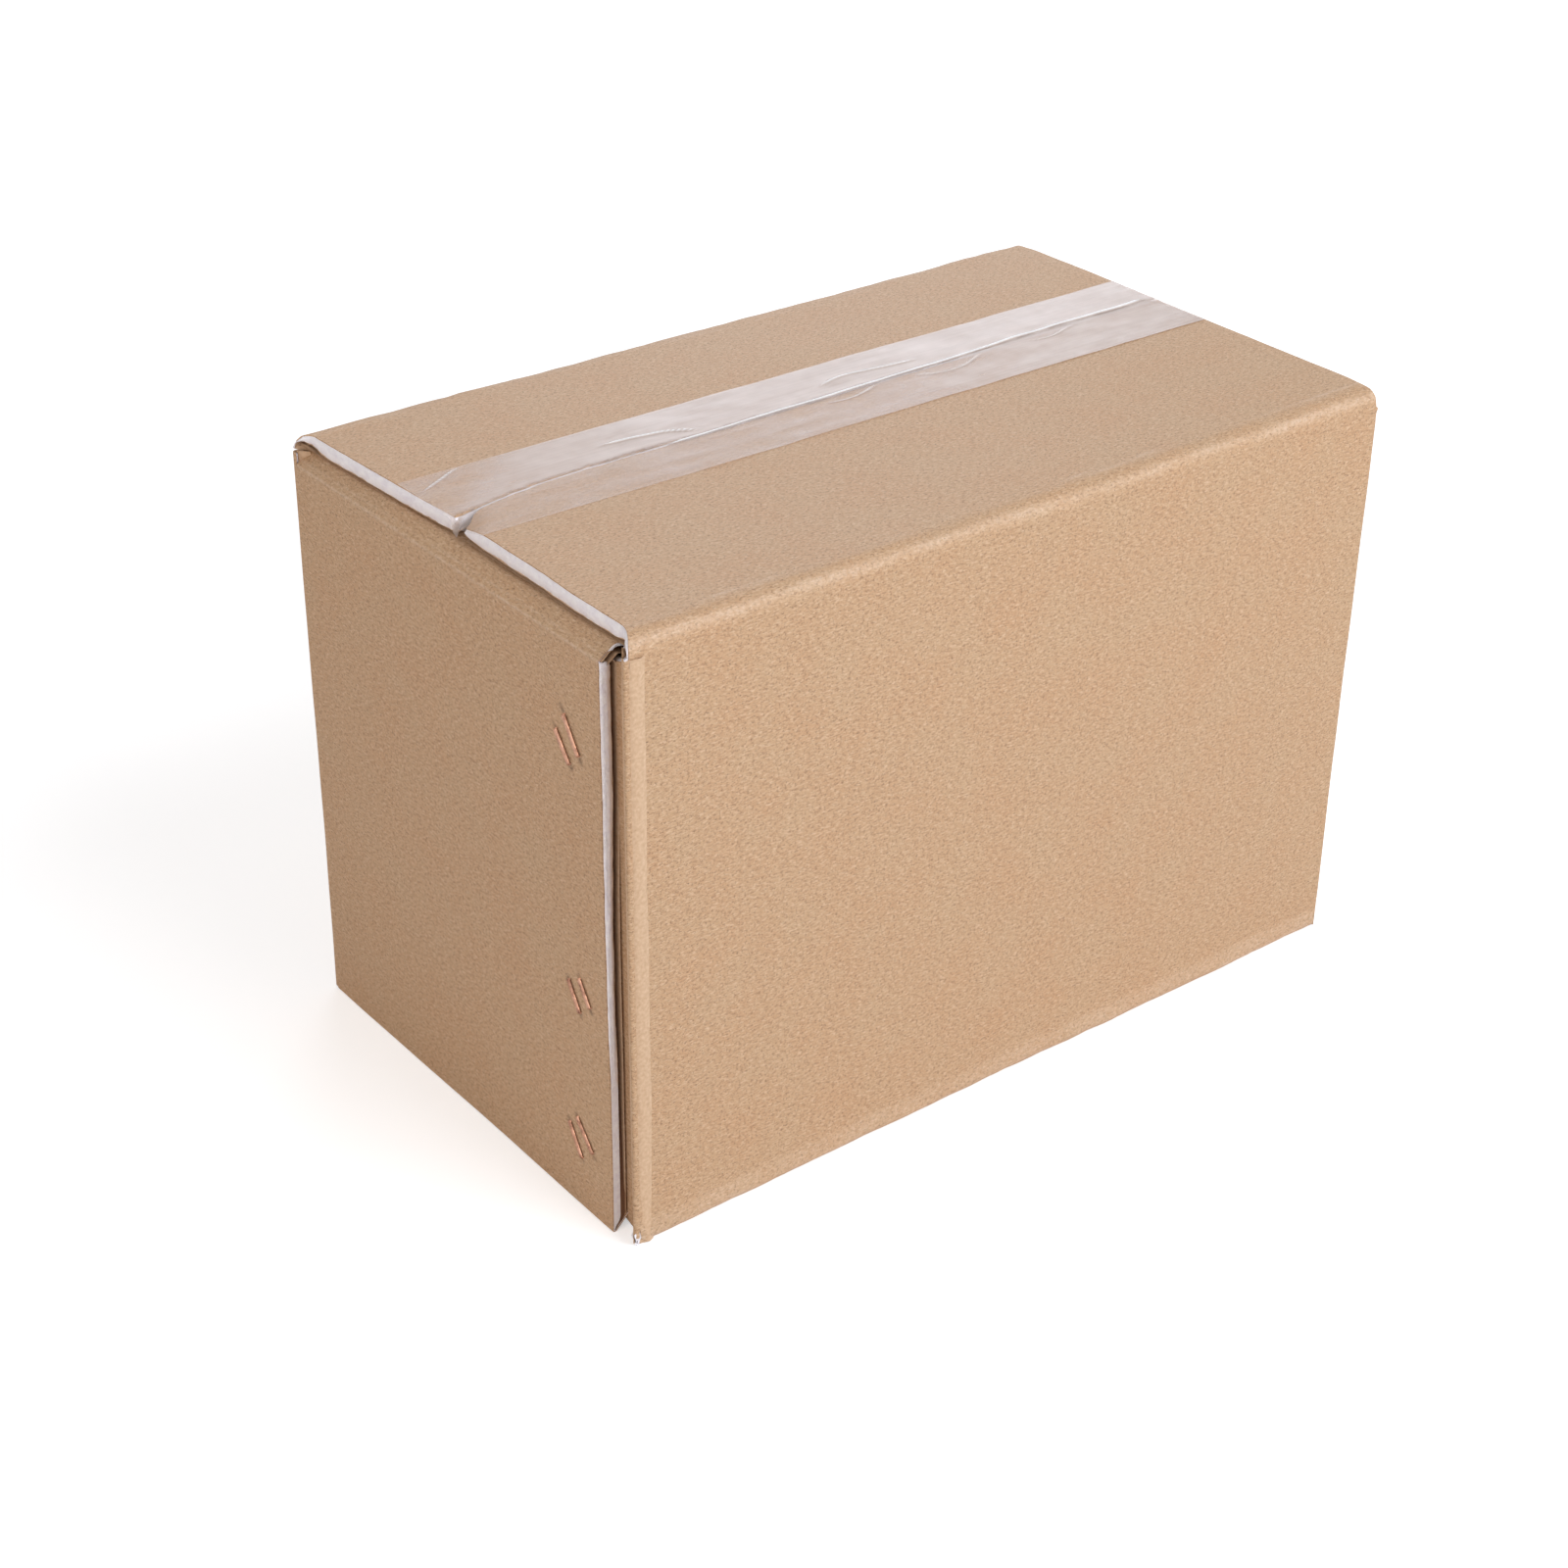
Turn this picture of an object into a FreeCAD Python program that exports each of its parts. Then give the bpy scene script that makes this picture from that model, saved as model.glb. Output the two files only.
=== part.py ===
import FreeCAD, Part
import os
import Sketcher

# Insulated shipping box: a regular slotted carton folded from one laminated blank, taped shut.
# The wall is three sheets glued together: kraft paper outside, white foam, thin corrugated backing inside.
# Row frame: X along the box's length, Y along its width, Z up, origin under the middle of the base.
# The near end panel is at -X and laps over a tab that turns in from the front panel at -Y.

partsFolder = "parts"

# Driving dimensions, in mm and degrees. Depths of the layers count inwards from the outer skin.
dimensions = {
    "boxLength": 295.0,          # over the outer skins of the end panels
    "boxWidth": 175.0,           # over the outer skins of the front and back panels
    "boxHeight": 203.0,          # over the two tapes
    "kraftThickness": 0.4,
    "foamThickness": 3.4,
    "backingThickness": 2.0,
    "bendInside": 0.2,           # radius left inside the sheet at every fold and corner
    "seamGap": 1.6,              # between the edges of two major flaps
    "seamNear": 11.0,            # the top seam runs behind the middle: here at its near end,
    "seamFar": 14.0,             # and here at its far end
    "mouthDepth": 36.0,          # the last stretch to the near edge, where the seam turns to the front
    "mouthBack": 5.7,            # and the place of the back flap's edge there
    "mouthCorner": 6.0,          # the front flap's corner was torn back over this length,
    "mouthFront": -1.0,          # to here
    "minorFlapReach": 84.0,      # of an end flap, from the outer skin of its panel
    "slotSetback": 0.2,          # from the end of a corner's bend to the side edge of a major flap
    "slotOverrun": 1.0,          # how far a slit runs past the start of the minor fold
    "slitWidth": 0.5,            # of the cut between a corner and the side of a minor flap
    "cornerReach": 1.0,          # flat strip on each side of a corner that stands up past the slits
    "lapSetback": 10.0,          # from the front skin to the free edge of the lapping end panel
    "tabStraight": 4.0,          # full-height strip of the tab beside its fold
    "tabWidth": 38.0,            # from the front skin to the tab's free edge
    "tabTaper": 9.0,             # how much each end of the tab narrows over its width
    "tapeWidth": 45.0,
    "tapeThickness": 0.1,
    "topTapeShift": 12.5,        # the top tape was laid along the seam, behind the middle
    "stitchSetback": 26.6,       # from the front skin to the middle of a pair of stitches
    "stitchLow": 30.0,           # heights of the three pairs above the base
    "stitchMiddle": 80.0,
    "stitchHigh": 162.0,
    "stitchPitch": 7.0,          # between the two stitches of a pair
    "stitchTilt": 35.0,          # from upright, the upper end away from the front panel
    "crownLength": 12.0,
    "clinchGap": 1.5,            # between the two clinched ends inside the box
    "wireWidth": 2.0,
    "wireThickness": 0.6,
    "legClearance": 0.05,        # round a wire leg in the hole it punched
}

# Values that follow from the driving dimensions.
wall = "(Sizes.kraftThickness + Sizes.foamThickness + Sizes.backingThickness)"
bendRadius = f"({wall} + Sizes.bendInside)"      # of the outer skin
halfLength = "(Sizes.boxLength / 2)"
halfWidth = "(Sizes.boxWidth / 2)"
majorLevel = "(Sizes.boxHeight / 2 - Sizes.tapeThickness)"
minorLevel = f"({majorLevel} - {wall})"
slotLevel = f"({minorLevel} - {bendRadius} - Sizes.slotOverrun)"
cornerLevel = f"({majorLevel} - {bendRadius})"
cornerAlongLength = f"({halfLength} - {bendRadius} - Sizes.cornerReach)"
cornerAlongWidth = f"({halfWidth} - {bendRadius} - Sizes.cornerReach)"
minorSide = f"({cornerAlongWidth} - Sizes.slitWidth)"
lapEdge = f"({halfWidth} - Sizes.lapSetback)"
tabRoot = f"({halfWidth} - {bendRadius} - Sizes.tabStraight)"
tabEdge = f"({halfWidth} - Sizes.tabWidth)"
majorSide = f"({halfLength} - {bendRadius} - Sizes.slotSetback)"

doc = FreeCAD.newDocument("InsulatedShippingBox")
sheet = doc.addObject("Spreadsheet::Sheet", "Sizes")
for row, (alias, value) in enumerate(dimensions.items(), start=1):
    sheet.set(f"A{row}", alias)
    sheet.set(f"B{row}", str(value))
    sheet.setAlias(f"B{row}", alias)
doc.recompute()

sketchOrigin = (-1, 1)           # geometry and point number of a sketch's own origin
lineStart, lineEnd = 1, 2


def originPlane(body, role):
    return next(plane for plane in body.Origin.OriginFeatures if plane.Role == role)


def newSketch(body, name, role, offset=None):
    # A sketch on one of the body's origin planes, moved along that plane's normal by an expression.
    sketch = body.newObject("Sketcher::SketchObject", name)
    sketch.AttachmentSupport = (originPlane(body, role), "")
    sketch.MapMode = "FlatFace"
    if offset:
        sketch.setExpression("AttachmentOffset.Base.z", offset)
    return sketch


def bindDistance(sketch, axis, geometry, point, expression):
    # Hold a point at a distance along X or Y from the sketch's origin.
    kind = {"x": "DistanceX", "y": "DistanceY"}[axis]
    value = float(sketch.evalExpression(expression))
    index = sketch.addConstraint(Sketcher.Constraint(kind, *sketchOrigin, geometry, point, value))
    sketch.setExpression(f"Constraints[{index}]", expression)


def bindRadius(sketch, geometry, expression):
    value = float(sketch.evalExpression(expression))
    index = sketch.addConstraint(Sketcher.Constraint("Radius", geometry, value))
    sketch.setExpression(f"Constraints[{index}]", expression)


def padSketch(body, name, sketch, length, midplane=True):
    pad = body.newObject("PartDesign::Pad", name)
    pad.Profile = sketch
    pad.Midplane = midplane
    pad.setExpression("Length", length)
    sketch.Visibility = False
    body.Tip = pad
    return pad


def joined(axis, onAxis, onOther):
    # A point from its place along the leg's own axis and along the other one.
    if axis == "x":
        return FreeCAD.Vector(onAxis, onOther, 0)
    return FreeCAD.Vector(onOther, onAxis, 0)


def addChain(sketch, legs, ends, depth, radius):
    # One side of a folded band: straight legs a given depth under the skin, joined by tangent arcs.
    # A leg is (axis, position, inward): it lies on axis = position, and inward points into the sheet.
    # Every leg is square to the one before it. Returns the first and the last line.
    levels = [f"{position} + ({inward}) * {depth}" for axis, position, inward in legs]
    values = [float(sketch.evalExpression(level)) for level in levels]
    arcRadius = float(sketch.evalExpression(radius))
    startAt, endAt = [float(sketch.evalExpression(end)) for end in ends]

    corners = [joined(legs[0][0], values[0], startAt)]
    for index in range(1, len(legs)):
        corners.append(joined(legs[index][0], values[index], values[index - 1]))
    corners.append(joined(legs[-1][0], values[-1], endAt))
    runs = [(corners[index + 1] - corners[index]).normalize() for index in range(len(legs))]

    lines = []
    for index, (axis, position, inward) in enumerate(legs):
        first = corners[index] + (runs[index] * arcRadius if index > 0 else FreeCAD.Vector())
        last = corners[index + 1] - (runs[index] * arcRadius if index < len(legs) - 1 else FreeCAD.Vector())
        line = sketch.addGeometry(Part.LineSegment(first, last), False)
        sketch.addConstraint(Sketcher.Constraint("Vertical" if axis == "x" else "Horizontal", line))
        bindDistance(sketch, axis, line, lineStart, levels[index])
        lines.append(line)

    for index in range(len(legs) - 1):
        corner = corners[index + 1]
        centre = corner - runs[index] * arcRadius + runs[index + 1] * arcRadius
        before = corner - runs[index] * arcRadius
        after = corner + runs[index + 1] * arcRadius
        middle = centre + (corner - centre).normalize() * arcRadius
        arc = sketch.addGeometry(Part.Arc(before, middle, after), False)
        turnsLeft = runs[index].cross(runs[index + 1]).z > 0
        arcStart, arcEnd = (1, 2) if turnsLeft else (2, 1)
        sketch.addConstraint(Sketcher.Constraint("Tangent", lines[index], lineEnd, arc, arcStart))
        sketch.addConstraint(Sketcher.Constraint("Tangent", arc, arcEnd, lines[index + 1], lineStart))
        bindRadius(sketch, arc, radius)
    return lines[0], lines[-1]


def addBand(sketch, legs, ends, outerDepth, innerDepth, skinRadius):
    # The closed outline of a folded band of even thickness, with square-cut ends.
    outer = addChain(sketch, legs, ends, outerDepth, f"{skinRadius} - {outerDepth}")
    inner = addChain(sketch, legs, ends, innerDepth, f"{skinRadius} - {innerDepth}")
    for side, point, leg in ((0, lineStart, legs[0]), (1, lineEnd, legs[-1])):
        outerPoint = sketch.getPoint(outer[side], point)
        innerPoint = sketch.getPoint(inner[side], point)
        cap = sketch.addGeometry(Part.LineSegment(outerPoint, innerPoint), False)
        sketch.addConstraint(Sketcher.Constraint("Coincident", outer[side], point, cap, lineStart))
        sketch.addConstraint(Sketcher.Constraint("Coincident", inner[side], point, cap, lineEnd))
        sketch.addConstraint(Sketcher.Constraint("Horizontal" if leg[0] == "x" else "Vertical", cap))
        bindDistance(sketch, "y" if leg[0] == "x" else "x", cap, lineStart, ends[side])


def addOutline(sketch, places):
    # A closed outline of straight lines between places, each an (across, up) pair of expressions.
    count = len(places)
    points = [FreeCAD.Vector(*(float(sketch.evalExpression(part)) for part in place), 0) for place in places]
    lines = [sketch.addGeometry(Part.LineSegment(points[index], points[(index + 1) % count]), False)
             for index in range(count)]
    for index, line in enumerate(lines):
        following = lines[(index + 1) % count]
        sketch.addConstraint(Sketcher.Constraint("Coincident", line, lineEnd, following, lineStart))
        bindDistance(sketch, "x", line, lineStart, places[index][0])
        bindDistance(sketch, "y", line, lineStart, places[index][1])


def addWallLoop(body, outerDepth, innerDepth):
    # Seen from above: from the lapping edge of the near end panel round the box to the tab's root.
    sketch = newSketch(body, "WallLoop", "XY_Plane")
    legs = [
        ("x", f"-{halfLength}", 1),
        ("y", halfWidth, -1),
        ("x", halfLength, -1),
        ("y", f"-{halfWidth}", 1),
        ("x", f"-{halfLength} + {wall}", 1),
    ]
    addBand(sketch, legs, (f"-{lapEdge}", f"-{tabRoot}"), outerDepth, innerDepth, bendRadius)
    padSketch(body, "Walls", sketch, f"2 * {slotLevel}")


def addCorners(body, outerDepth, innerDepth):
    # Seen from above: the three plain corners, which stand up to where the major flaps start to fold.
    # The fourth, where the front panel turns in to the tab, is cut off at the slot level.
    sketch = newSketch(body, "CornerSection", "XY_Plane")
    for end, side in ((-1, 1), (1, 1), (1, -1)):
        legs = [("x", f"({end}) * {halfLength}", -end), ("y", f"({side}) * {halfWidth}", -side)]
        ends = (f"({side}) * {cornerAlongWidth}", f"({end}) * {cornerAlongLength}")
        addBand(sketch, legs, ends, outerDepth, innerDepth, bendRadius)
    padSketch(body, "Corners", sketch, f"2 * {cornerLevel}")


def addTab(body, outerDepth, innerDepth):
    # The flat of the tab behind the near end panel, narrowing to its free edge.
    offset = f"-{halfLength} + {wall} + {outerDepth}"
    sketch = newSketch(body, "TabOutline", "YZ_Plane", offset)
    narrow = f"({slotLevel} - Sizes.tabTaper)"
    outline = [(tabRoot, "-", slotLevel), (tabEdge, "-", narrow), (tabEdge, "", narrow), (tabRoot, "", slotLevel)]
    addOutline(sketch, [(f"-{across}", f"{sign}{up}") for across, sign, up in outline])
    padSketch(body, "Tab", sketch, f"{innerDepth} - {outerDepth}", midplane=False)


def addMajorFlaps(body, outerDepth, innerDepth):
    # Seen along X: the front and back flaps turn in from the slot level. The bottom pair stops short of
    # the middle, and the top pair is one arch that the seam then parts.
    sketch = newSketch(body, "MajorFlapSection", "YZ_Plane")
    for side in (-1, 1):
        legs = [("x", f"({side}) * {halfWidth}", -side), ("y", f"-{majorLevel}", 1)]
        addBand(sketch, legs, (f"-{slotLevel}", f"({side}) * Sizes.seamGap / 2"),
                outerDepth, innerDepth, bendRadius)
    arch = [("x", f"-{halfWidth}", 1), ("y", majorLevel, -1), ("x", halfWidth, -1)]
    addBand(sketch, arch, (slotLevel, slotLevel), outerDepth, innerDepth, bendRadius)
    padSketch(body, "MajorFlaps", sketch, f"2 * {majorSide}")


def partTopSeam(body):
    # Seen from above: the seam runs a little askew behind the middle, turns to the front near the lapping
    # end, and opens there between the two flaps' corners.
    sketch = newSketch(body, "TopSeamOutline", "XY_Plane")
    mouthEnd = f"-{majorSide} + Sizes.mouthDepth"
    cornerShare = "(Sizes.cornerReach + Sizes.mouthCorner) / (Sizes.cornerReach + Sizes.mouthDepth)"
    cornerPlace = f"Sizes.mouthBack + (Sizes.seamNear + Sizes.seamGap / 2 - Sizes.mouthBack) * {cornerShare}"
    addOutline(sketch, [
        (f"-{majorSide} - Sizes.cornerReach", "Sizes.mouthFront"),
        (f"-{majorSide} + Sizes.mouthCorner", f"{cornerPlace} - Sizes.seamGap"),
        (mouthEnd, "Sizes.seamNear - Sizes.seamGap / 2"),
        (f"{majorSide} + Sizes.cornerReach", "Sizes.seamFar - Sizes.seamGap / 2"),
        (f"{majorSide} + Sizes.cornerReach", "Sizes.seamFar + Sizes.seamGap / 2"),
        (mouthEnd, "Sizes.seamNear + Sizes.seamGap / 2"),
        (f"-{majorSide} - Sizes.cornerReach", "Sizes.mouthBack"),
    ])
    pocket = body.newObject("PartDesign::Pocket", "TopSeam")
    pocket.Profile = sketch
    pocket.Type = "ThroughAll"
    pocket.Reversed = True
    sketch.Visibility = False
    body.Tip = pocket


def addMinorFlaps(body, outerDepth, innerDepth, side, frontSide, name):
    # Seen along Y: the top and bottom flaps of one end panel, one wall under the major flaps.
    # frontSide is how far the flap reaches towards the front; the lapping panel's is shorter.
    offset = f"-({minorSide} - {frontSide}) / 2"
    sketch = newSketch(body, name + "Section", "XZ_Plane", offset)
    for level in (-1, 1):
        legs = [("x", f"({side}) * {halfLength}", -side), ("y", f"({level}) * {minorLevel}", -level)]
        flapEdge = f"({side}) * ({halfLength} - Sizes.minorFlapReach)"
        addBand(sketch, legs, (f"({level}) * {slotLevel}", flapEdge), outerDepth, innerDepth, bendRadius)
    padSketch(body, name, sketch, f"{minorSide} + {frontSide}")


def foldedBlank(name, outerDepth, innerDepth):
    # One layer of the laminate as a folded sheet, between two depths under the outer skin.
    body = doc.addObject("PartDesign::Body", name)
    body.setExpression("Placement.Base.z", "Sizes.boxHeight / 2")
    addWallLoop(body, outerDepth, innerDepth)
    addCorners(body, outerDepth, innerDepth)
    addTab(body, outerDepth, innerDepth)
    addMajorFlaps(body, outerDepth, innerDepth)
    partTopSeam(body)
    addMinorFlaps(body, outerDepth, innerDepth, -1, lapEdge, "LappingEndFlaps")
    addMinorFlaps(body, outerDepth, innerDepth, 1, minorSide, "FarEndFlaps")
    return body


def stitchWire():
    # A wire stitch upright at the origin: crown on the skin, legs along +X, ends clinched behind the tab.
    body = doc.addObject("PartDesign::Body", "StitchWire")
    sketch = newSketch(body, "WirePath", "XZ_Plane")
    clinched = ("x", f"2 * {wall} + Sizes.wireThickness", -1)
    legs = [
        clinched,
        ("y", "Sizes.crownLength / 2", -1),
        ("x", "-Sizes.wireThickness", 1),
        ("y", "-Sizes.crownLength / 2", 1),
        clinched,
    ]
    bend = "(Sizes.wireThickness + Sizes.legClearance)"
    ends = ("Sizes.clinchGap / 2", "-Sizes.clinchGap / 2")
    addBand(sketch, legs, ends, "0", "Sizes.wireThickness", bend)
    padSketch(body, "Wire", sketch, "Sizes.wireWidth")
    return body


def legHoles():
    # The two holes that one stitch punches through the end panel and the tab.
    holes = []
    for sign, name in ((1, "UpperLegHole"), (-1, "LowerLegHole")):
        hole = doc.addObject("Part::Box", name)
        middle = f"({sign}) * (Sizes.crownLength - Sizes.wireThickness) / 2"
        hole.setExpression("Length", f"4 * {wall}")
        hole.setExpression("Width", "Sizes.wireWidth + 2 * Sizes.legClearance")
        hole.setExpression("Height", "Sizes.wireThickness + 2 * Sizes.legClearance")
        hole.setExpression("Placement.Base.x", f"-{wall}")
        hole.setExpression("Placement.Base.y", "-Sizes.wireWidth / 2 - Sizes.legClearance")
        hole.setExpression("Placement.Base.z", f"{middle} - Sizes.wireThickness / 2 - Sizes.legClearance")
        holes.append(hole)
    pair = doc.addObject("Part::Compound", "LegHoles")
    pair.Links = holes
    return pair


def atStitches(source, name):
    # Six linked copies: a pair at each height, side by side across the tilt.
    copies = []
    for height in ("stitchLow", "stitchMiddle", "stitchHigh"):
        for side in (-1, 1):
            copy = doc.addObject("App::Link", f"{name}_{height}_{len(copies) % 2 + 1}")
            copy.LinkedObject = source
            copy.LinkTransform = False
            across = f"({side}) * Sizes.stitchPitch / 2"
            copy.Placement.Rotation = FreeCAD.Rotation(FreeCAD.Vector(-1, 0, 0), dimensions["stitchTilt"])
            copy.setExpression("Placement.Rotation.Angle", "Sizes.stitchTilt")
            copy.setExpression("Placement.Base.x", f"-{halfLength}")
            copy.setExpression("Placement.Base.y",
                               f"-{halfWidth} + Sizes.stitchSetback - {across} * cos(Sizes.stitchTilt)")
            copy.setExpression("Placement.Base.z", f"Sizes.{height} + {across} * sin(Sizes.stitchTilt)")
            copies.append(copy)
    group = doc.addObject("Part::Compound", name)
    group.Links = copies
    return group


def punchedSheet(name, outerDepth, innerDepth, holes):
    blank = foldedBlank(name + "_blank", outerDepth, innerDepth)
    punched = doc.addObject("Part::Cut", name)
    punched.Base = blank
    punched.Tool = holes
    return punched


def sealingTape(name, shift, bottom):
    # A flat strip over the seam, as long as the major flaps.
    tape = doc.addObject("Part::Box", name)
    tape.setExpression("Length", f"2 * {majorSide}")
    tape.setExpression("Width", "Sizes.tapeWidth")
    tape.setExpression("Height", "Sizes.tapeThickness")
    tape.setExpression("Placement.Base.x", f"-{majorSide}")
    tape.setExpression("Placement.Base.y", f"{shift} - Sizes.tapeWidth / 2")
    tape.setExpression("Placement.Base.z", bottom)
    return tape


stitches = atStitches(stitchWire(), "wire_stitches")
holes = atStitches(legHoles(), "stitch_holes")
foamFrom = "Sizes.kraftThickness"
backingFrom = "(Sizes.kraftThickness + Sizes.foamThickness)"
nodes = [
    punchedSheet("kraft_face_sheet", "0", foamFrom, holes),
    punchedSheet("foam_core_sheet", foamFrom, backingFrom, holes),
    punchedSheet("corrugated_backing_sheet", backingFrom, wall, holes),
    sealingTape("top_sealing_tape", "Sizes.topTapeShift", "Sizes.boxHeight - Sizes.tapeThickness"),
    sealingTape("bottom_sealing_tape", "0", "0"),
    stitches,
]
for node in nodes:
    node.Label = node.Name
doc.recompute()

# Nothing is written unless every object of the document came out whole.
for item in doc.Objects:
    if "Invalid" in item.State or "Error" in item.State:
        raise RuntimeError(f"{item.Name} failed: {item.State}")
for item in doc.Objects:
    if item.TypeId == "Sketcher::SketchObject" and item.solve() != 0:
        raise RuntimeError(f"{item.Name} does not solve")
os.makedirs(partsFolder, exist_ok=True)
for node in nodes:
    if node.Shape.isNull() or not node.Shape.isValid():
        raise RuntimeError(f"{node.Label} has no valid shape")
    node.Shape.exportStep(f"{partsFolder}/{node.Label}.step")
    box = node.Shape.BoundBox
    print(f"{node.Label}: {len(node.Shape.Solids)} solid(s), {node.Shape.Volume:.1f} mm3,"
          f" X {box.XMin:.2f} {box.XMax:.2f}, Y {box.YMin:.2f} {box.YMax:.2f}, Z {box.ZMin:.2f} {box.ZMax:.2f}")
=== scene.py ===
import math
import bmesh
import bpy
from mathutils import Matrix, Vector, noise


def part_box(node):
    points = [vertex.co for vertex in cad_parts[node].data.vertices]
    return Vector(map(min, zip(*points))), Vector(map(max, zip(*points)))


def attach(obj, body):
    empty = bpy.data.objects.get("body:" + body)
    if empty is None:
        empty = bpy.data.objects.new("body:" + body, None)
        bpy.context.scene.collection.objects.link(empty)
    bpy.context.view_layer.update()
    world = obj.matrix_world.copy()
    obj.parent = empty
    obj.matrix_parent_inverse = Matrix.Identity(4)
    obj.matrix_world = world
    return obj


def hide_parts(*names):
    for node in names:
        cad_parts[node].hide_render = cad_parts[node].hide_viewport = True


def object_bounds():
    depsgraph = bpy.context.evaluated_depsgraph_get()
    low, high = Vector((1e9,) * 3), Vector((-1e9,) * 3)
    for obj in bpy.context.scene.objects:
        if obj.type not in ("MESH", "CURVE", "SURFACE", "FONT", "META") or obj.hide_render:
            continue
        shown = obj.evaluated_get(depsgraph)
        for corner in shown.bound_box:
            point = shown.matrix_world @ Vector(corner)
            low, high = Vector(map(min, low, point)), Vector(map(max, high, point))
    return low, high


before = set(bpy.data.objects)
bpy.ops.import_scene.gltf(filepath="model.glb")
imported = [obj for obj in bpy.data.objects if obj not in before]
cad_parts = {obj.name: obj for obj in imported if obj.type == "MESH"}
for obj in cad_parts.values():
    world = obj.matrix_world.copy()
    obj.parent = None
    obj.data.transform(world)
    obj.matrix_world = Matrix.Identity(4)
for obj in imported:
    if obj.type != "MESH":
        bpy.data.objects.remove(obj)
cadLow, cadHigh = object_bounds()

# An insulated shipping box: kraft paper, white foam and thin corrugated board glued into one blank,
# folded to a carton, stitched at one corner and taped shut. Lengths are in mm until a point is placed.
# The near end panel is at -X and laps over a tab that turns in from the front panel at -Y.
mm = 0.001
kraftLow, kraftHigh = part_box("kraft_face_sheet")
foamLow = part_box("foam_core_sheet")[0]
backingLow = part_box("corrugated_backing_sheet")[0]
topTapeLow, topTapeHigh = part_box("top_sealing_tape")
bottomTapeLow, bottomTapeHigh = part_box("bottom_sealing_tape")

carton = {
    "length": (kraftHigh.x - kraftLow.x) / mm,
    "width": (kraftHigh.y - kraftLow.y) / mm,
    "skin": (kraftHigh.z - kraftLow.z) / 2 / mm,         # mid-height to the skin of a major flap
    "middle": (kraftHigh.z + kraftLow.z) / 2 / mm,       # height of the blank's centre line
    "radius": 6.0,                                       # of the skin where a major flap folds
    "minorSlot": 91.0,                                   # where the cuts beside a minor flap end
    "majorSlot": 92.0,                                   # and beside a major flap
    "lapSetback": 10.0,                                  # front skin to the free edge of the lapping end
    "minorReach": 84.0,
    "minorClearance": 0.05,                              # under the major flaps
    "cornerStrip": 1.0,                                  # flat strip beside a corner that stands with it
    "stripDrop": 2.4,                                    # from a fold down to the top of a shorter strip
    "slit": 0.4,
    "frontFlapInset": 2.8,                               # from the near end's skin to the flaps' sides
    "backFlapInset": 4.4,
    "lowerBackInset": 2.0,
    "farFlapInset": 0.5,                                 # and from the far end's
}
layers = {
    "kraft": (foamLow.x - kraftLow.x) / mm,
    "foam": (backingLow.x - foamLow.x) / mm,
    "backing": 2.0,
}
wall = layers["kraft"] + layers["foam"] + layers["backing"]
corners = {                       # radii of the upright folds, creased sharper than the sheet is thick
    "farFront": 1.6,
    "farBack": 4.0,
    "nearBack": 1.2,
    "crushReach": 6.0,
}
tab = {
    "width": 38.0,                # front skin to the tab's free edge
    "flat": 30.5,                 # lies against the lapping end panel
    "slant": 38.0,                # then swings out to the fold, which was creased sharp
    "easeRadius": 2.5,
    "foldRadius": 0.6,
    "crushed": 0.2,               # what the fold leaves of the wall's thickness
    "crushReach": 3.0,
    "taper": 9.0,
}
# A minor flap's fold: its score's height from the middle, and the degrees and radii of its two bends.
upperFold = {"start": 91.2, "first": 55.0, "firstRadius": 1.2, "lastRadius": 3.0}
lowerFold = {"start": 100.6, "first": 135.0, "firstRadius": 0.8, "lastRadius": 3.0}        # tucked up
majorFold = [(7.6, 25), (4.3, 40), (7.6, 25)]              # radius and degrees: creased along its middle


def smooth(start, end, value):                           # 0 up to the start and 1 past the end, either way
    share = min(max((value - start) / (end - start), 0.0), 1.0)
    return share * share * (3 - 2 * share)


def bell(value, centre, reach):                          # 1 at the centre, near 0 past the reach
    return math.exp(-((value - centre) / reach * 1.6) ** 2)


def wander(u, v, size, seed):                            # gentle random waves of a size in mm
    return noise.noise(Vector((u / size, v / size, seed)))


def waved(u, v, form):                                   # the same with a height: height, size, seed
    height, size, seed = form
    return height * wander(u, v, size, seed)


def ridge(value, line, form):                            # a rounded ridge: height, shift from a line, reach
    height, shift, reach = form
    return height * bell(value, line + shift, reach)


def ramp(value, line, form):                             # an eased rise: height, start and end past a line
    height, start, end = form
    return height * smooth(line + start, line + end, value)


# A folded line is a list of runs: length, and degrees turned over that length.
def arc(radius, degrees):
    return radius * math.radians(abs(degrees)), degrees


def follow(runs, distance):
    # forward, to the left, and the angle turned so far
    forward, left, turned = 0.0, 0.0, 0.0
    for length, degrees in runs:
        step = min(distance, length)
        if degrees:
            radius = length / math.radians(degrees)
            ahead = turned + step / radius
            forward += radius * (math.sin(ahead) - math.sin(turned))
            left += radius * (math.cos(turned) - math.cos(ahead))
            turned = ahead
        else:
            forward += step * math.cos(turned)
            left += step * math.sin(turned)
        distance -= step
        if distance <= 0:
            break
    return forward, left, turned


def lengthOf(runs):
    return sum(length for length, degrees in runs)


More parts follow.
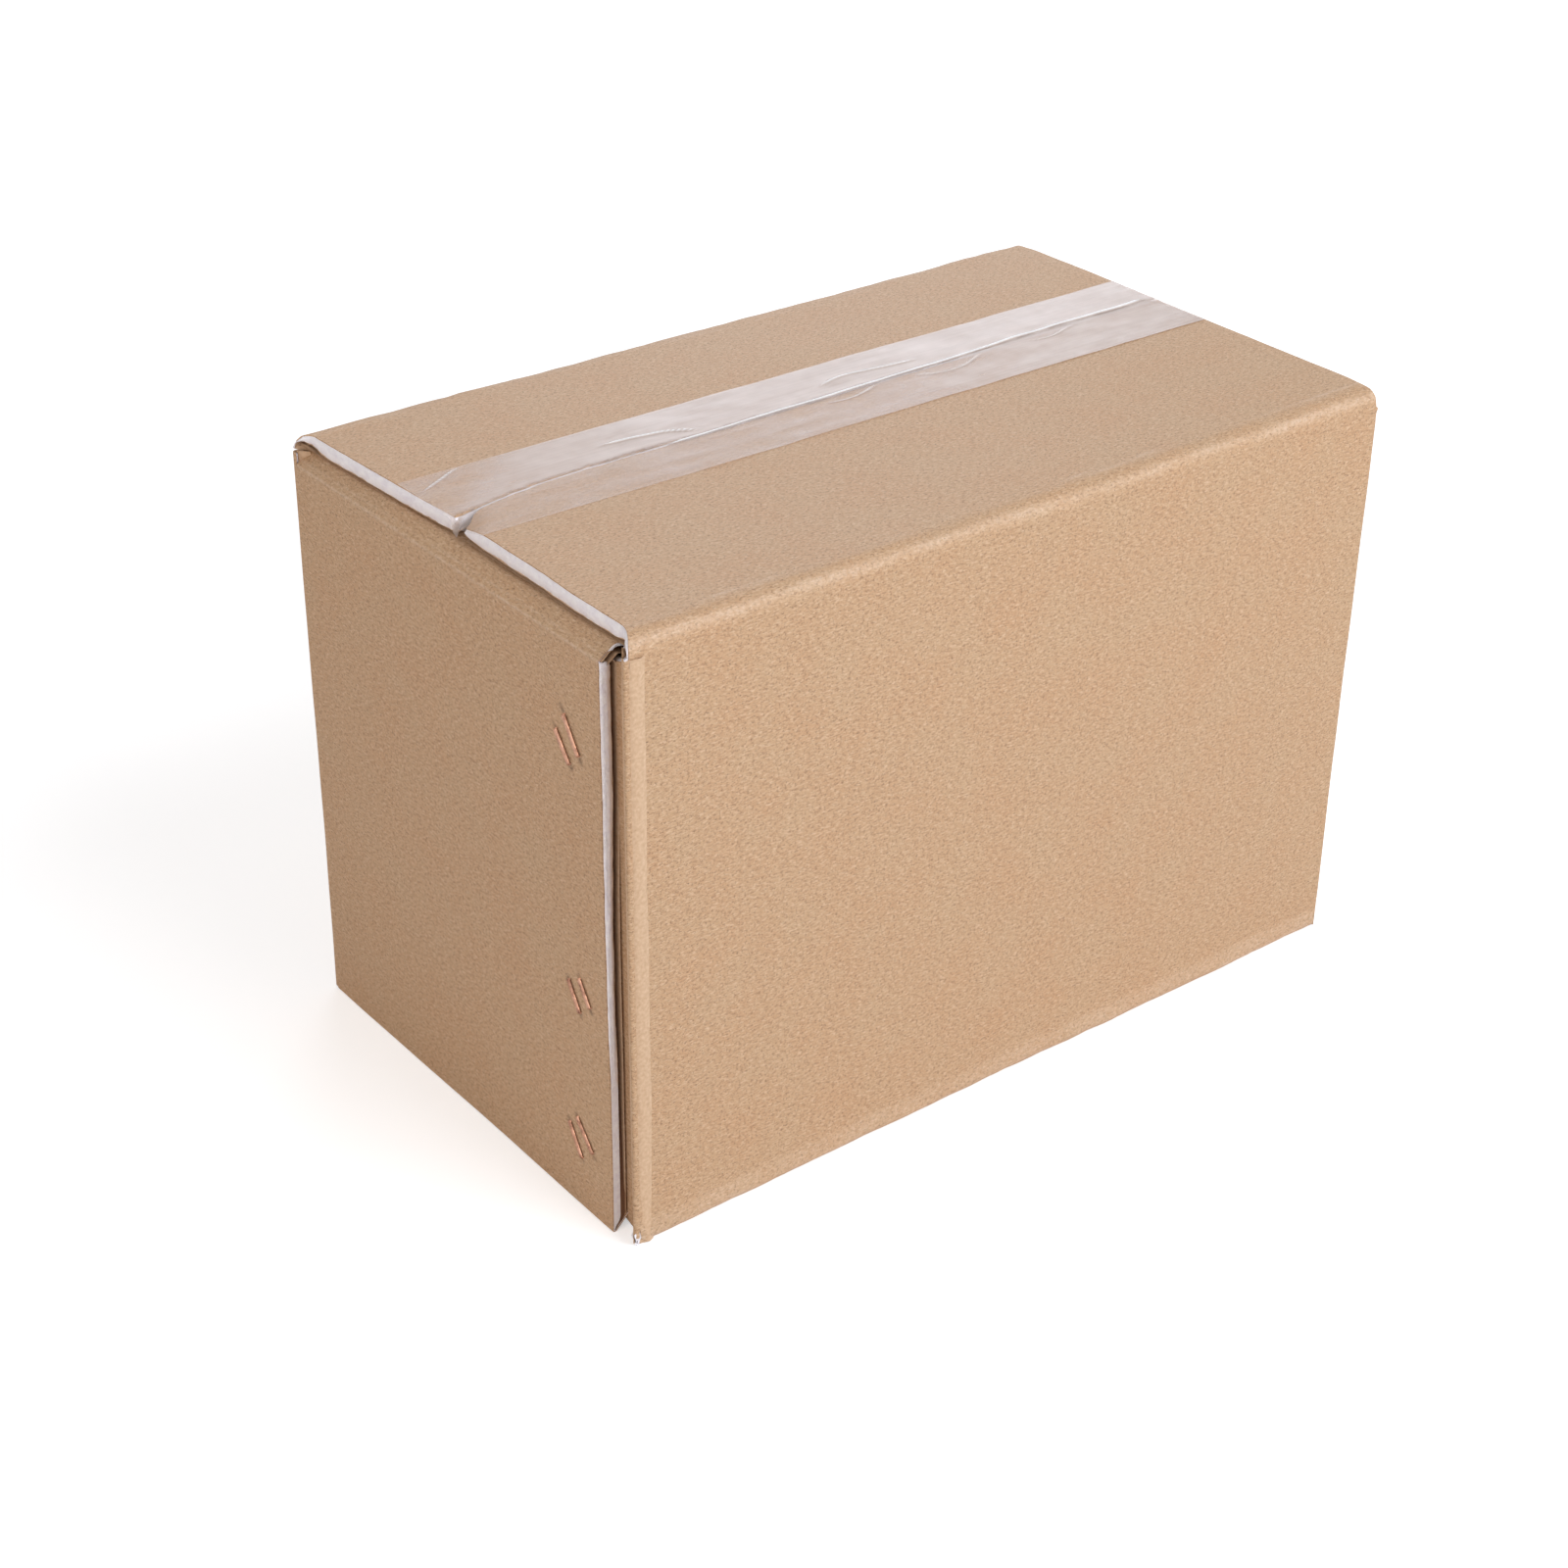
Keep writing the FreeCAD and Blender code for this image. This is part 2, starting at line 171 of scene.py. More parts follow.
halfLength = carton["length"] / 2
halfWidth = carton["width"] / 2
slantCosine = math.cos(math.radians(tab["slant"]))
slantSine = math.sin(math.radians(tab["slant"]))
slantRun = (tab["width"] - tab["flat"] - tab["easeRadius"] * slantSine
            - tab["foldRadius"] * (1 + slantSine)) / slantCosine
tabRuns = [
    (tab["flat"], 0),
    arc(tab["easeRadius"], -tab["slant"]),
    (slantRun, 0),
    arc(tab["foldRadius"], 90 + tab["slant"]),
]
planStart = Vector((-halfLength + wall, -halfWidth + tab["width"]))
frontStart = planStart.x + follow(tabRuns, lengthOf(tabRuns))[1]
backStart = halfLength - corners["farBack"]
planRuns = tabRuns + [
    (halfLength - corners["farFront"] - frontStart, 0),
    arc(corners["farFront"], 90),
    (carton["width"] - corners["farFront"] - corners["farBack"], 0),
    arc(corners["farBack"], 90),
    (carton["length"] - corners["farBack"] - corners["nearBack"], 0),
    arc(corners["nearBack"], 90),
    (carton["width"] - corners["nearBack"] - carton["lapSetback"], 0),
]
bends = [lengthOf(planRuns[:index]) for index in range(len(planRuns) + 1)]
tabFold, frontFrom, frontTo, farFrom, farTo, backFrom, backTo, nearFrom, nearTo = bends[3:]
uprightBends = {"farFront": (frontTo, farFrom), "farBack": (farTo, backFrom), "nearBack": (backTo, nearFrom)}

# The top seam: its front and back edge are measured back from the middle, and it runs askew. Near the near
# edge it turns to the front and opens as a mouth.
topSeam = {
    "gap": 1.6,                   # between two major flaps
    "near": 11.0,
    "far": 14.0,
    "mouthDepth": 36.0,
    "mouthBack": 5.7,             # the back flap's edge there,
    "mouthFront": -1.0,           # and the front flap's, its corner torn back
    "mouthCorner": 6.0,
    "backWaves": (0.5, 3.5, 5.0),
    "frontWaves": (0.3, 9, 9.0),
}
majorRuns = [(carton["skin"] - carton["radius"], 0)]
majorRuns += [arc(radius, degrees) for radius, degrees in majorFold] + [(2 * halfWidth, 0)]
foldStart = majorRuns[0][0]
flapStart = lengthOf(majorRuns[:-1])
flapMiddle = flapStart + halfWidth - carton["radius"]      # where a major flap would meet the box's middle
majorCrest = (foldStart + flapStart) / 2
majorReach = flapMiddle - topSeam["gap"] / 2


def creased(fold):
    # A minor flap's line: sharply over its score, along a slope, then flat under the major flaps.
    first = math.radians(fold["first"])
    level = carton["skin"] - wall - carton["minorClearance"]
    eased = math.copysign(fold["lastRadius"], 90 - fold["first"]) * (1 - math.sin(first))
    slope = (level - fold["start"] - fold["firstRadius"] * math.sin(first) - eased) / math.cos(first)
    return [
        (fold["start"], 0),
        arc(fold["firstRadius"], fold["first"]),
        (slope, 0),
        arc(fold["lastRadius"], 90 - fold["first"]),
        (2 * halfWidth, 0),
    ]


def flatFrom(runs):
    return lengthOf(runs[:4])


def reachOf(runs):
    return flatFrom(runs) + carton["minorReach"] - follow(runs, flatFrom(runs))[1]


standingRuns = [(2 * halfWidth, 0)]
upperRuns = creased(upperFold)
lowerRuns = creased(lowerFold)
upperReach = reachOf(upperRuns)
lowerReach = reachOf(lowerRuns)

# The blank from its left edge: each zone ends at a distance u, is cut off at a height from its middle,
# and folds as one kind. A plain zone stands straight, a major or minor zone ends in flaps.
plain, minor, major = 0, 1, 2
strip = carton["cornerStrip"]
slit = carton["slit"]
minorSlot = carton["minorSlot"]
majorSlot = carton["majorSlot"]
frontFlapFrom = frontFrom - halfLength + carton["frontFlapInset"] - frontStart
frontFlapTo = frontTo + corners["farFront"] - carton["farFlapInset"]
backFlapFrom = backFrom - corners["farBack"] + carton["farFlapInset"]
backFlapTo = backTo + corners["nearBack"] - carton["backFlapInset"]
lowerBackTo = backTo - carton["lowerBackInset"]
shortStrip = foldStart - carton["stripDrop"]
tabFoot = lowerFold["start"] - carton["stripDrop"]
upperZones = [
    (tab["flat"], minorSlot, plain),
    (frontFlapFrom, foldStart, plain),
    (frontFlapTo, majorReach, major),
    (frontFlapTo + slit, majorSlot, plain),
    (farFrom + strip, shortStrip, plain),
    (farFrom + strip + slit, minorSlot, plain),
    (farTo - strip - slit, upperReach, minor),
    (farTo - strip, minorSlot, plain),
    (backFlapFrom - slit, foldStart, plain),
    (backFlapFrom, majorSlot, plain),
    (backFlapTo, majorReach, major),
    (backFlapTo + slit, majorSlot, plain),
    (nearFrom + strip, foldStart, plain),
    (nearFrom + strip + slit, minorSlot, plain),
    (nearTo, upperReach, minor),
]
lowerZones = [
    (tabFold, lowerFold["start"], plain),
    (frontFlapFrom - slit, tabFoot, plain),
    (frontFlapFrom, foldStart, plain),
    (frontTo, majorReach, major),
    (frontTo + slit, foldStart, plain),
    (farFrom + strip, lowerFold["start"], plain),
    (farTo - strip, lowerReach, minor),
    (backFrom - slit, lowerFold["start"], plain),
    (backFrom, foldStart, plain),
    (lowerBackTo, majorReach, major),
    (lowerBackTo + slit, foldStart, plain),
    (nearFrom + strip, lowerFold["start"], plain),
    (nearTo, lowerReach, minor),
]


def zoneAt(u, v):
    zones = upperZones if v > 0 else lowerZones
    return next((zone for zone in zones if u < zone[0]), zones[-1])


def minorStart(v):                                       # a minor flap's score, and where it lies flat
    fold, runs = (upperFold, upperRuns) if v > 0 else (lowerFold, lowerRuns)
    return fold["start"], flatFrom(runs)


def fromNearEdge(x):                                     # from where the mouth's corner stands
    return x + halfLength - carton["radius"]


def seamEdges(x):
    # Where along Y the front and the back flap of the top end.
    along = fromNearEdge(x)
    slope = (topSeam["far"] - topSeam["near"]) / carton["length"]
    straight = topSeam["near"] + slope * along + topSeam["gap"] / 2
    opened = smooth(2 * topSeam["mouthDepth"], -topSeam["mouthCorner"], along) ** 3
    back = straight + (topSeam["mouthBack"] - straight) * opened + waved(x, 0, topSeam["backWaves"])
    front = back - topSeam["gap"] + waved(x, 0, topSeam["frontWaves"])
    torn = smooth(topSeam["mouthCorner"], -topSeam["mouthCorner"], along)
    return front + (topSeam["mouthFront"] - front) * torn, back


def panelX(u):                                           # where a column of a long panel stands
    return frontStart + u - frontFrom if u < farFrom else backStart + backFrom - u


# Hand-cut edges of the flat sheet. A side's cut starts to stray within its reach of the corner.
cuts = {
    "lap": (1, -15, 0),                                  # the lapping edge stands back at its top,
    "lapBack": -0.7,
    "lapWaves": (0.3, 14, 2.0),
    "lapLower": (2.9, -16, -111),                        # and comes forward to its foot
    "lapFoot": (1.2, -84, -101),
    "backReach": 20,
    "frontReach": 18,
    "frontIn": 4.2,                                      # the near sides stand back, more towards the seam
    "frontAcross": 0.8,
    "frontWaves": (0.4, 20, 5.0),
    "backIn": 0.3,
    "backAcross": 2.0,
    "backAtSeam": 1.2,
    "backFlush": 3.4,                                    # but start flush with the near back corner
    "farOut": 0.9,                                       # the far sides start flush with the far corners
    "farReach": 20,
    "tucked": 6.5,                                       # the lower flaps' sides stand back from all corners
    "frontTucked": 0.4,
    "easing": 4,
}


def trimmed(u, v, kind):
    # Where the flat sheet's real outline leaves the ruled one.
    height = abs(v)
    if u < tab["flat"]:                                              # the tab narrows to its free edge
        v *= 1 - tab["taper"] / minorSlot * (1 - u / tab["flat"])
    u += ramp(u, nearTo, cuts["lap"]) * (cuts["lapBack"] + waved(0, v, cuts["lapWaves"])
                                         + ramp(v, 0, cuts["lapLower"]) + ramp(v, 0, cuts["lapFoot"]))
    if kind == major and height > foldStart:
        upper = v > 0
        across = (height - flapStart) / (majorReach - flapStart)     # 0 at the fold, 1 at the seam
        onFlap = smooth(foldStart, flapStart + cuts["easing"], height)
        nearBack = smooth(backTo - cuts["backReach"], backFlapTo, u)
        nearFront = smooth(frontFlapFrom + cuts["frontReach"], frontFlapFrom, u)
        if upper and across > 0:
            front, back = seamEdges(panelX(u))
            v += across * (topSeam["gap"] / 2 + (front if u < farFrom else -back))
        tucked = 0 if upper else cuts["tucked"] * smooth(flapStart, flapStart + 5, height)
        flush = smooth(flapStart + 9, flapStart, height)
        farSide = cuts["farOut"] * flush if upper else tucked
        if u < farFrom:
            u -= farSide * smooth(frontTo - cuts["farReach"], frontTo, u)
        else:
            u += farSide * smooth(backFlapFrom + cuts["farReach"], backFlapFrom, u)
        backIn = cuts["backIn"] + cuts["backAcross"] * across + cuts["backAtSeam"] * max(across, 0) ** 3
        backIn *= onFlap
        if upper:
            backIn -= cuts["backFlush"] * smooth(flapStart + 2, foldStart + 1, height)
        u -= nearBack * (backIn + tucked)
        frontIn = cuts["frontIn"] + cuts["frontAcross"] * across + waved(0, v, cuts["frontWaves"])
        u += nearFront * (onFlap * frontIn + cuts["frontTucked"] * tucked)
    return u, v


def cornerCrush(u, v, kind):
    # The front flap's corner at the seam was flattened under the tape.
    if kind != major or u > farFrom or v < flapStart:
        return 0
    fromSeam = flapMiddle + seamEdges(panelX(u))[0] - v
    return smooth(13, 0, fromSeam) * smooth(15, -2, u - frontFlapFrom)


stitches = {                      # crowns on the near end panel: y, z, degrees from upright, length
    "places": [
        (-58.8, 23.6, 31.2, 12.5), (-63.8, 28.1, 40.0, 12.5),
        (-60.4, 76.5, 31.6, 11.1), (-65.8, 80.3, 33.2, 9.8),
        (-58.4, 159.0, 36.7, 11.3), (-62.9, 164.5, 33.0, 13.0),
    ],
    "tears": [(1.2, 1.0), (1.6, 1.0), (1.0, 1.2), (2.0, 1.0), (1.4, 1.6), (2.6, 3.2)],     # past both ends
    "wireWidth": 2.0,
    "wireThickness": 0.6,
    "crownOut": 0.32,             # from the skin out to the middle of the wire
    "clinchDepth": 11.9,          # and in to the clinched ends
    "bend": 0.45,
    "clinchGap": 1.5,
    "sides": 14,
    "bendRings": 6,
    "ringSpacing": 1.5,
    "pressed": -0.08,             # the paper under a crown
    "pressReach": 2.6,
    "pressEnd": 1.5,
    "sideShade": (0.95, 0.2, 0.6),     # painted shade along a wire's side
    "tearWidth": 1.3,             # and past its ends
    "tearWaves": (0.6, 2.2),
    "reach": 13,                  # how far round a stitch it shows in the paper
}


def besideStitches(u, v):
    # For each stitch near a place: its number, how far along and across its crown, and half the crown.
    y, z = halfWidth - corners["nearBack"] - (u - nearFrom), v + carton["middle"]
    for number, (centreY, centreZ, tilt, crown) in enumerate(stitches["places"]):
        offY, offZ = y - centreY, z - centreZ
        if math.hypot(offY, offZ) < stitches["reach"]:
            sine, cosine = math.sin(math.radians(tilt)), math.cos(math.radians(tilt))
            yield number, offY * sine + offZ * cosine, offY * cosine - offZ * sine, crown / 2


def nearStitch(u, v):
    return any(True for beside in besideStitches(u, v))


def stitchPress(u, v):
    # 1 under a stitch's crown and 0 away from it, in the kraft face.
    press = 0
    for number, along, across, half in besideStitches(u, v):
        ends = smooth(half + stitches["pressEnd"], half - stitches["pressEnd"], abs(along))
        press = max(press, ends * bell(across, 0, stitches["pressReach"]))
    return press


def scarAndShadeAt(u, v):
    # Painted shade along a wire's sides, and where it tore the paper at its ends.
    scarAndShade = 0
    waves, waveSize = stitches["tearWaves"]
    for number, along, across, half in besideStitches(u, v):
        if abs(along) < half:
            scarAndShade = max(scarAndShade, ridge(abs(across), stitches["wireWidth"] / 2, stitches["sideShade"]))
        for end, reach in zip((-1, 1), stitches["tears"][number]):
            past = along * end - half
            drawn = bell(across + waves * wander(along, across, waveSize, number), 0, stitches["tearWidth"])
            scarAndShade = max(scarAndShade, drawn * smooth(-1.2, 0, past) * smooth(reach + 1, reach / 2, past))
    return scarAndShade


# How far the glued sheets stand out from a true carton: waves, and ridges beside the folds.
slack = {
    "broad": (0.35, 75, 3.1),
    "narrow": (0.12, 24, 7.7),
    "foldBroad": (0.42, 9, 1.3),                         # wrinkles of a major fold,
    "foldNarrow": (0.22, 5, 4.2),
    "foldBand": (1, 0.8, 8),                             # about its crest
    "foldGroove": (-0.12, -2.5, 2.2),
    "floorEdge": (1.2, 0, 4.5),                          # set sharper where the load stood
    "cornerCrush": 2.6,
    "slope": (0.3, 16, 6.4),                             # and of a minor flap's slope
    "slopeBand": (1, 5, 7),
    "score": (0.15, 0.5, 1.0),
    "frontGroove": (-0.04, 3.2, 1.6),
}


def relief(u, v, kind):
    height = abs(v)
    lift = waved(u, v, slack["broad"]) + waved(u, v, slack["narrow"])
    if kind == major:
        wrinkled = waved(u * 0.55, height * 1.5, slack["foldBroad"])
        wrinkled += waved(u, height * 2, slack["foldNarrow"])
        lift += wrinkled * ridge(height, majorCrest, slack["foldBand"])
        lift += ridge(height, foldStart, slack["foldGroove"])
        lift -= slack["cornerCrush"] * cornerCrush(u, v, kind)
        if v < 0:
            lift += ridge(height, majorCrest, slack["floorEdge"])
    if kind == minor and height > minorSlot:
        score = minorStart(v)[0]
        lift += waved(u, height * 2, slack["slope"]) * ridge(height, score, slack["slopeBand"])
        lift += ridge(height, score, slack["score"])
    if u > nearFrom and height < minorSlot:
        lift += (stitches["pressed"] - lift) * stitchPress(u, v)
    return lift + ridge(u, frontFrom, slack["frontGroove"])


def released(v, kind):                                   # a major flap's side leaves its corner: 0 to 1
    return smooth(majorSlot, foldStart, abs(v)) if kind == major else 0


def planPoint(u, v, kind):
    # The skin seen from above, and its outward direction. A flap's side reaches straight past its corner.
    low, high = (frontFrom, frontTo) if u < farFrom else (backFrom, backTo)
    bent = max(u + (min(max(u, low), high) - u) * released(v, kind), 0)
    forward, left, turned = follow(planRuns, bent)
    heading = Vector((math.sin(turned), -math.cos(turned)))
    outward = Vector((heading.y, -heading.x))
    return planStart + Vector((left, -forward)) + heading * (u - bent), outward


# Shares of the foam's or the board's thickness that pressing took, as ramps and ridges across the sheet.
pressed = {
    "lap": (0.28, -12, -1),
    "lapUpper": (1, 57, -6),
    "majorFold": (0.45, 2, 9),
    "cornerCrush": 0.9,
    "frontSide": (1, 12, 2),                             # the cut swells on the flaps' near sides
    "backSide": (1, -12, -2),
    "swollenFrom": (1, -2, 8),
    "foamSwell": -0.35,
    "boardUnderSwell": 0.55,
    "bound": (1, -7, -1),                                # where a fold is bound by the near back corner
    "boundFoam": 0.5,
    "boundBoard": 0.6,
    "score": (0.8, -1, 1),
    "scoreEnd": (1, 8, 0),
    "tuckedScore": (0.85, -5, 0),
    "tuckedEnd": (1, 6, -1),
    "most": 0.93,
}


def folded(u, v, kind):
    # How much of the wall's thickness the upright folds took, each at its middle.
    lost = (1 - tab["crushed"]) * bell(u, (tabFold + frontFrom) / 2, tab["crushReach"])
    for name, (start, end) in uprightBends.items():
        taken = 1 - corners[name] / wall
        lost = max(lost, taken * bell(u, (start + end) / 2, corners["crushReach"]) * (1 - released(v, kind)))
    return lost


def pressedDepth(u, v, depth, kind):
    # Depth under the skin where folding or the tape flattened the wall: the foam gives way first.
    height = abs(v)
    foamLost = boardLost = folded(u, v, kind)
    foamLost += ramp(u, nearTo, pressed["lap"]) * ramp(v, 0, pressed["lapUpper"])
    if kind == major:
        crushed = cornerCrush(u, v, kind)
        foamLost += ridge(height, foldStart, pressed["majorFold"]) + pressed["cornerCrush"] * crushed
        if v > 0:
            side = ramp(u, frontFlapFrom, pressed["frontSide"]) + ramp(u, backFlapTo, pressed["backSide"])
            swollen = min(side, 1) * ramp(height, flapStart, pressed["swollenFrom"]) * (1 - crushed)
            bound = ramp(u, backTo, pressed["bound"]) * smooth(flapStart + 3, foldStart + 2, height)
            foamLost += pressed["foamSwell"] * swollen + pressed["boundFoam"] * bound
            boardLost += pressed["boardUnderSwell"] * swollen + pressed["boundBoard"] * bound
    if kind == minor:
        score, flat = minorStart(v)
        foamLost += ramp(height, score, pressed["score"]) * ramp(height, flat, pressed["scoreEnd"])
        if v < 0:
            creaseLost = ramp(height, score, pressed["tuckedScore"])
            creaseLost *= ramp(height, flat, pressed["tuckedEnd"])
            foamLost = max(foamLost, creaseLost)
            boardLost = max(boardLost, creaseLost)
    foamLost, boardLost = min(foamLost, pressed["most"]), min(boardLost, pressed["most"])
    foamDepth = min(max(depth - layers["kraft"], 0), layers["foam"])
    boardDepth = max(depth - layers["kraft"] - layers["foam"], 0)
    return min(depth, layers["kraft"]) + foamDepth * (1 - foamLost) + boardDepth * (1 - boardLost)


def foldPoint(u, v, depth, kind):
    # A point of the flat blank, depth mm under the skin, in its place on the carton in metres.
    place, outward = planPoint(u, v, kind)
    minorRuns = upperRuns if v > 0 else lowerRuns
    height, inward, tilt = follow((standingRuns, minorRuns, majorRuns)[kind], abs(v))
    off = relief(u, v, kind) - pressedDepth(u, v, depth, kind)
    flat = place + outward * (off * math.cos(tilt) - inward)
    height += off * math.sin(tilt)
    return Vector((flat.x, flat.y, carton["middle"] + math.copysign(1, v) * height)) * mm


# The blank is ruled finely within these margins, so that its bends come out round.
ruling = {
    "bendMargin": 5,
    "crestMargin": 4.5,
    "slotMargin": 6,
    "foldMargin": 1.2,
    "flapMargin": 6,
    "seamMargin": 2,
    "scoreFiner": 3,
}


def ruled(marks, spacings):
    # Ruled lines from mark to mark, each stretch divided by its own spacing.
    lines = [marks[0]]
    for start, end, spacing in zip(marks, marks[1:], spacings):
        count = max(1, math.ceil((end - start) / spacing))
        lines += [start + (end - start) * (index + 1) / count for index in range(count)]
    return lines


def columnLines(flatSpacing, bendSpacing):
    margin = ruling["bendMargin"]
    crestEnd = frontFrom + ruling["crestMargin"]
    marks = {0.0, tabFold, frontFrom, crestEnd}
    marks.update(zone[0] for zone in upperZones + lowerZones)
    bent = [(tab["flat"], crestEnd)]
    for start, end in uprightBends.values():
        marks.update((start - margin, start, start + margin, end - margin, end, end + margin))
        bent.append((start - margin, end + margin))
    marks = sorted(marks)
    spacings = []
    for start, end in zip(marks, marks[1:]):
        middle = (start + end) / 2
        spacings.append(bendSpacing if any(low < middle < high for low, high in bent) else flatSpacing)
    return ruled(marks, spacings)


def rowLines(wallSpacing, foldSpacing, flapSpacing):
    # From the lower flaps' edges to the upper ones', close together at the folds and closest on a score.
    wallEnd = minorSlot - ruling["slotMargin"]
    foldEnd = flapStart + ruling["flapMargin"]
    sides = []
    for fold, runs, reach in ((lowerFold, lowerRuns, lowerReach), (upperFold, upperRuns, upperReach)):
        scoreEnd = fold["start"] + runs[1][0]
        marks = sorted([
            0, wallEnd, minorSlot, majorSlot, shortStrip, foldStart, foldStart + ruling["foldMargin"],
            tabFoot, fold["start"], scoreEnd, flatFrom(runs), foldEnd, reach,
            majorReach - ruling["seamMargin"], majorReach])
        spacings = []
        for start, end in zip(marks, marks[1:]):
            middle = (start + end) / 2
            if fold["start"] < middle < scoreEnd:
                spacings.append(foldSpacing / ruling["scoreFiner"])
            elif middle < wallEnd:
                spacings.append(wallSpacing)
            else:
                spacings.append(flapSpacing if middle > foldEnd else foldSpacing)
        sides.append(ruled(marks, spacings))
    return [-line for line in reversed(sides[0][1:])] + sides[1]


def flatBlank(columns, rows):
    # The die-cut blank as a flat grid, u along X and v along Y, with its slots cut out.
    mesh = bmesh.new()
    bmesh.ops.create_grid(mesh, x_segments=len(columns) - 1, y_segments=len(rows) - 1, size=0.5)
    for vert in mesh.verts:
        column = round((vert.co.x + 0.5) * (len(columns) - 1))
        row = round((vert.co.y + 0.5) * (len(rows) - 1))
        vert.co = Vector((columns[column], rows[row], 0))
    waste = []
    for face in mesh.faces:
        centre = face.calc_center_median()
        if abs(centre.y) > zoneAt(centre.x, centre.y)[1]:
            waste.append(face)
    bmesh.ops.delete(mesh, geom=waste, context="FACES")
    return mesh


def markRims(mesh):
    # Every vertex on a cut edge remembers which way the sheet ends there.
    rimU = mesh.verts.layers.float.new("rimU")
    rimV = mesh.verts.layers.float.new("rimV")
    for edge in mesh.edges:
        if edge.is_boundary:
            away = (edge.verts[0].co + edge.verts[1].co) / 2 - edge.link_faces[0].calc_center_median()
            along = (edge.verts[1].co - edge.verts[0].co).normalized()
            away = (away - along * away.dot(along)).normalized()
            for vert in edge.verts:
                vert[rimU] += away.x
                vert[rimV] += away.y
    return rimU, rimV


def newVerts(grown):
    return [part for part in grown if isinstance(part, bmesh.types.BMVert)]


def pieceFrom(mesh, name, material):
    data = bpy.data.meshes.new(name)
    mesh.to_mesh(data)
    mesh.free()
    piece = bpy.data.objects.new(name, data)
    bpy.context.scene.collection.objects.link(piece)
    data.materials.append(material)
    print(name, "made:", len(data.vertices), "vertices,", len(data.polygons), "faces")
    return piece


sharpSheetEdge = 0.8                                     # radians
cutBack = -1                                             # a rim cut back further than this is a channel, given a painted shade


def foldedSheet(name, columns, rows, levels, rimShape, material, finer=0):
    # One layer of the laminate: flat blank, thickness in steps, shaped rims, then all the folds.
    # levels are depths under the skin, and rimShape says how far the rim stands out at a depth.
    # finer is how many cuts more each edge gets round the stitches.
    mesh = flatBlank(columns, rows)
    if finer:
        edges = [edge for edge in mesh.edges if all(nearStitch(vert.co.x, vert.co.y) for vert in edge.verts)]
        bmesh.ops.subdivide_edges(mesh, edges=edges, cuts=finer, use_grid_fill=True)
    kinds = mesh.verts.layers.int.new("kinds")
    for face in mesh.faces:
        centre = face.calc_center_median()
        kind = zoneAt(centre.x, centre.y)[2]
        for vert in face.verts:
            vert[kinds] = max(vert[kinds], kind)
    rimU, rimV = markRims(mesh)
    depth = mesh.verts.layers.float.new("depth")
    for vert in mesh.verts:
        vert[depth] = levels[0]
    region = list(mesh.faces)
    for index, level in enumerate(levels[1:]):
        grown = bmesh.ops.extrude_face_region(mesh, geom=region, use_keep_orig=index == 0)["geom"]
        for vert in newVerts(grown):
            vert[depth] = level
            vert.co.z = -level
        region = [part for part in grown if isinstance(part, bmesh.types.BMFace)]
    bmesh.ops.recalc_face_normals(mesh, faces=mesh.faces)

    for edge in mesh.edges:
        if edge.is_manifold and edge.calc_face_angle(0) > sharpSheetEdge:
            edge.smooth = False
    for vert in mesh.verts:
        vert.co.x, vert.co.y = trimmed(vert.co.x, vert.co.y, vert[kinds])
    flat = mesh.loops.layers.uv.new("flat")
    for face in mesh.faces:
        face.smooth = True
        for loop in face.loops:
            loop[flat].uv = (loop.vert.co.x * mm, loop.vert.co.y * mm)
    wearAndPaintedLight = mesh.verts.layers.float.new("wearAndPaintedLight")
    scarAndShade = mesh.verts.layers.float.new("scarAndShade")
    for vert in mesh.verts:
        kind = vert[kinds]
        u, v = vert.co.x, vert.co.y
        out = 0
        length = math.hypot(vert[rimU], vert[rimV])
        if length > 0.01:
            out = rimShape(u, v, vert[depth])
            u += out * vert[rimU] / length
            v += out * vert[rimV] / length
        # The attribute holds wear and a painted highlight on the paper, and is 1 in a cut-back flute
        # channel, where the board gets a painted shade.
        vert[wearAndPaintedLight] = wearAndHighlightAt(u, v, kind) if out > cutBack else 1
        vert[scarAndShade] = scarAndShadeAt(u, v) if u > nearFrom else 0
        vert.co = foldPoint(u, v, vert[depth], kind)
    piece = pieceFrom(mesh, name, material)
    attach(piece, "root")
    return piece


# Where folding roughed the paper: ridges of wear on the folds, some broken by waves, and a painted highlight
# on the crease beside the front corner.
wornAndHighlight = {
    "crest": (1, -0.6, 2.6),
    "crestStray": (1.2, 30, 2.2),
    "crestWaves": (0.4, 12, 8.8),
    "wrinkle": (0.5, 2, 0.9),                            # a wrinkle past the fold, here and there
    "wrinkleStray": (2, 40, 4.4),
    "rubbed": (0.3, -4, 0),                              # along the floor
    "rubbedWaves": (0.5, 14, 5.5),
    "score": (0.75, 0.5, 0.6),
    "scoreWaves": (0.4, 10, 1.1),
    "slope": (0.3, 2.6, 0.7),
    "slopeWaves": (0.8, 16, 4.1),
    # a painted highlight on the crease beside the front corner
    "front": (0.07, 2.4, 1.6),
}


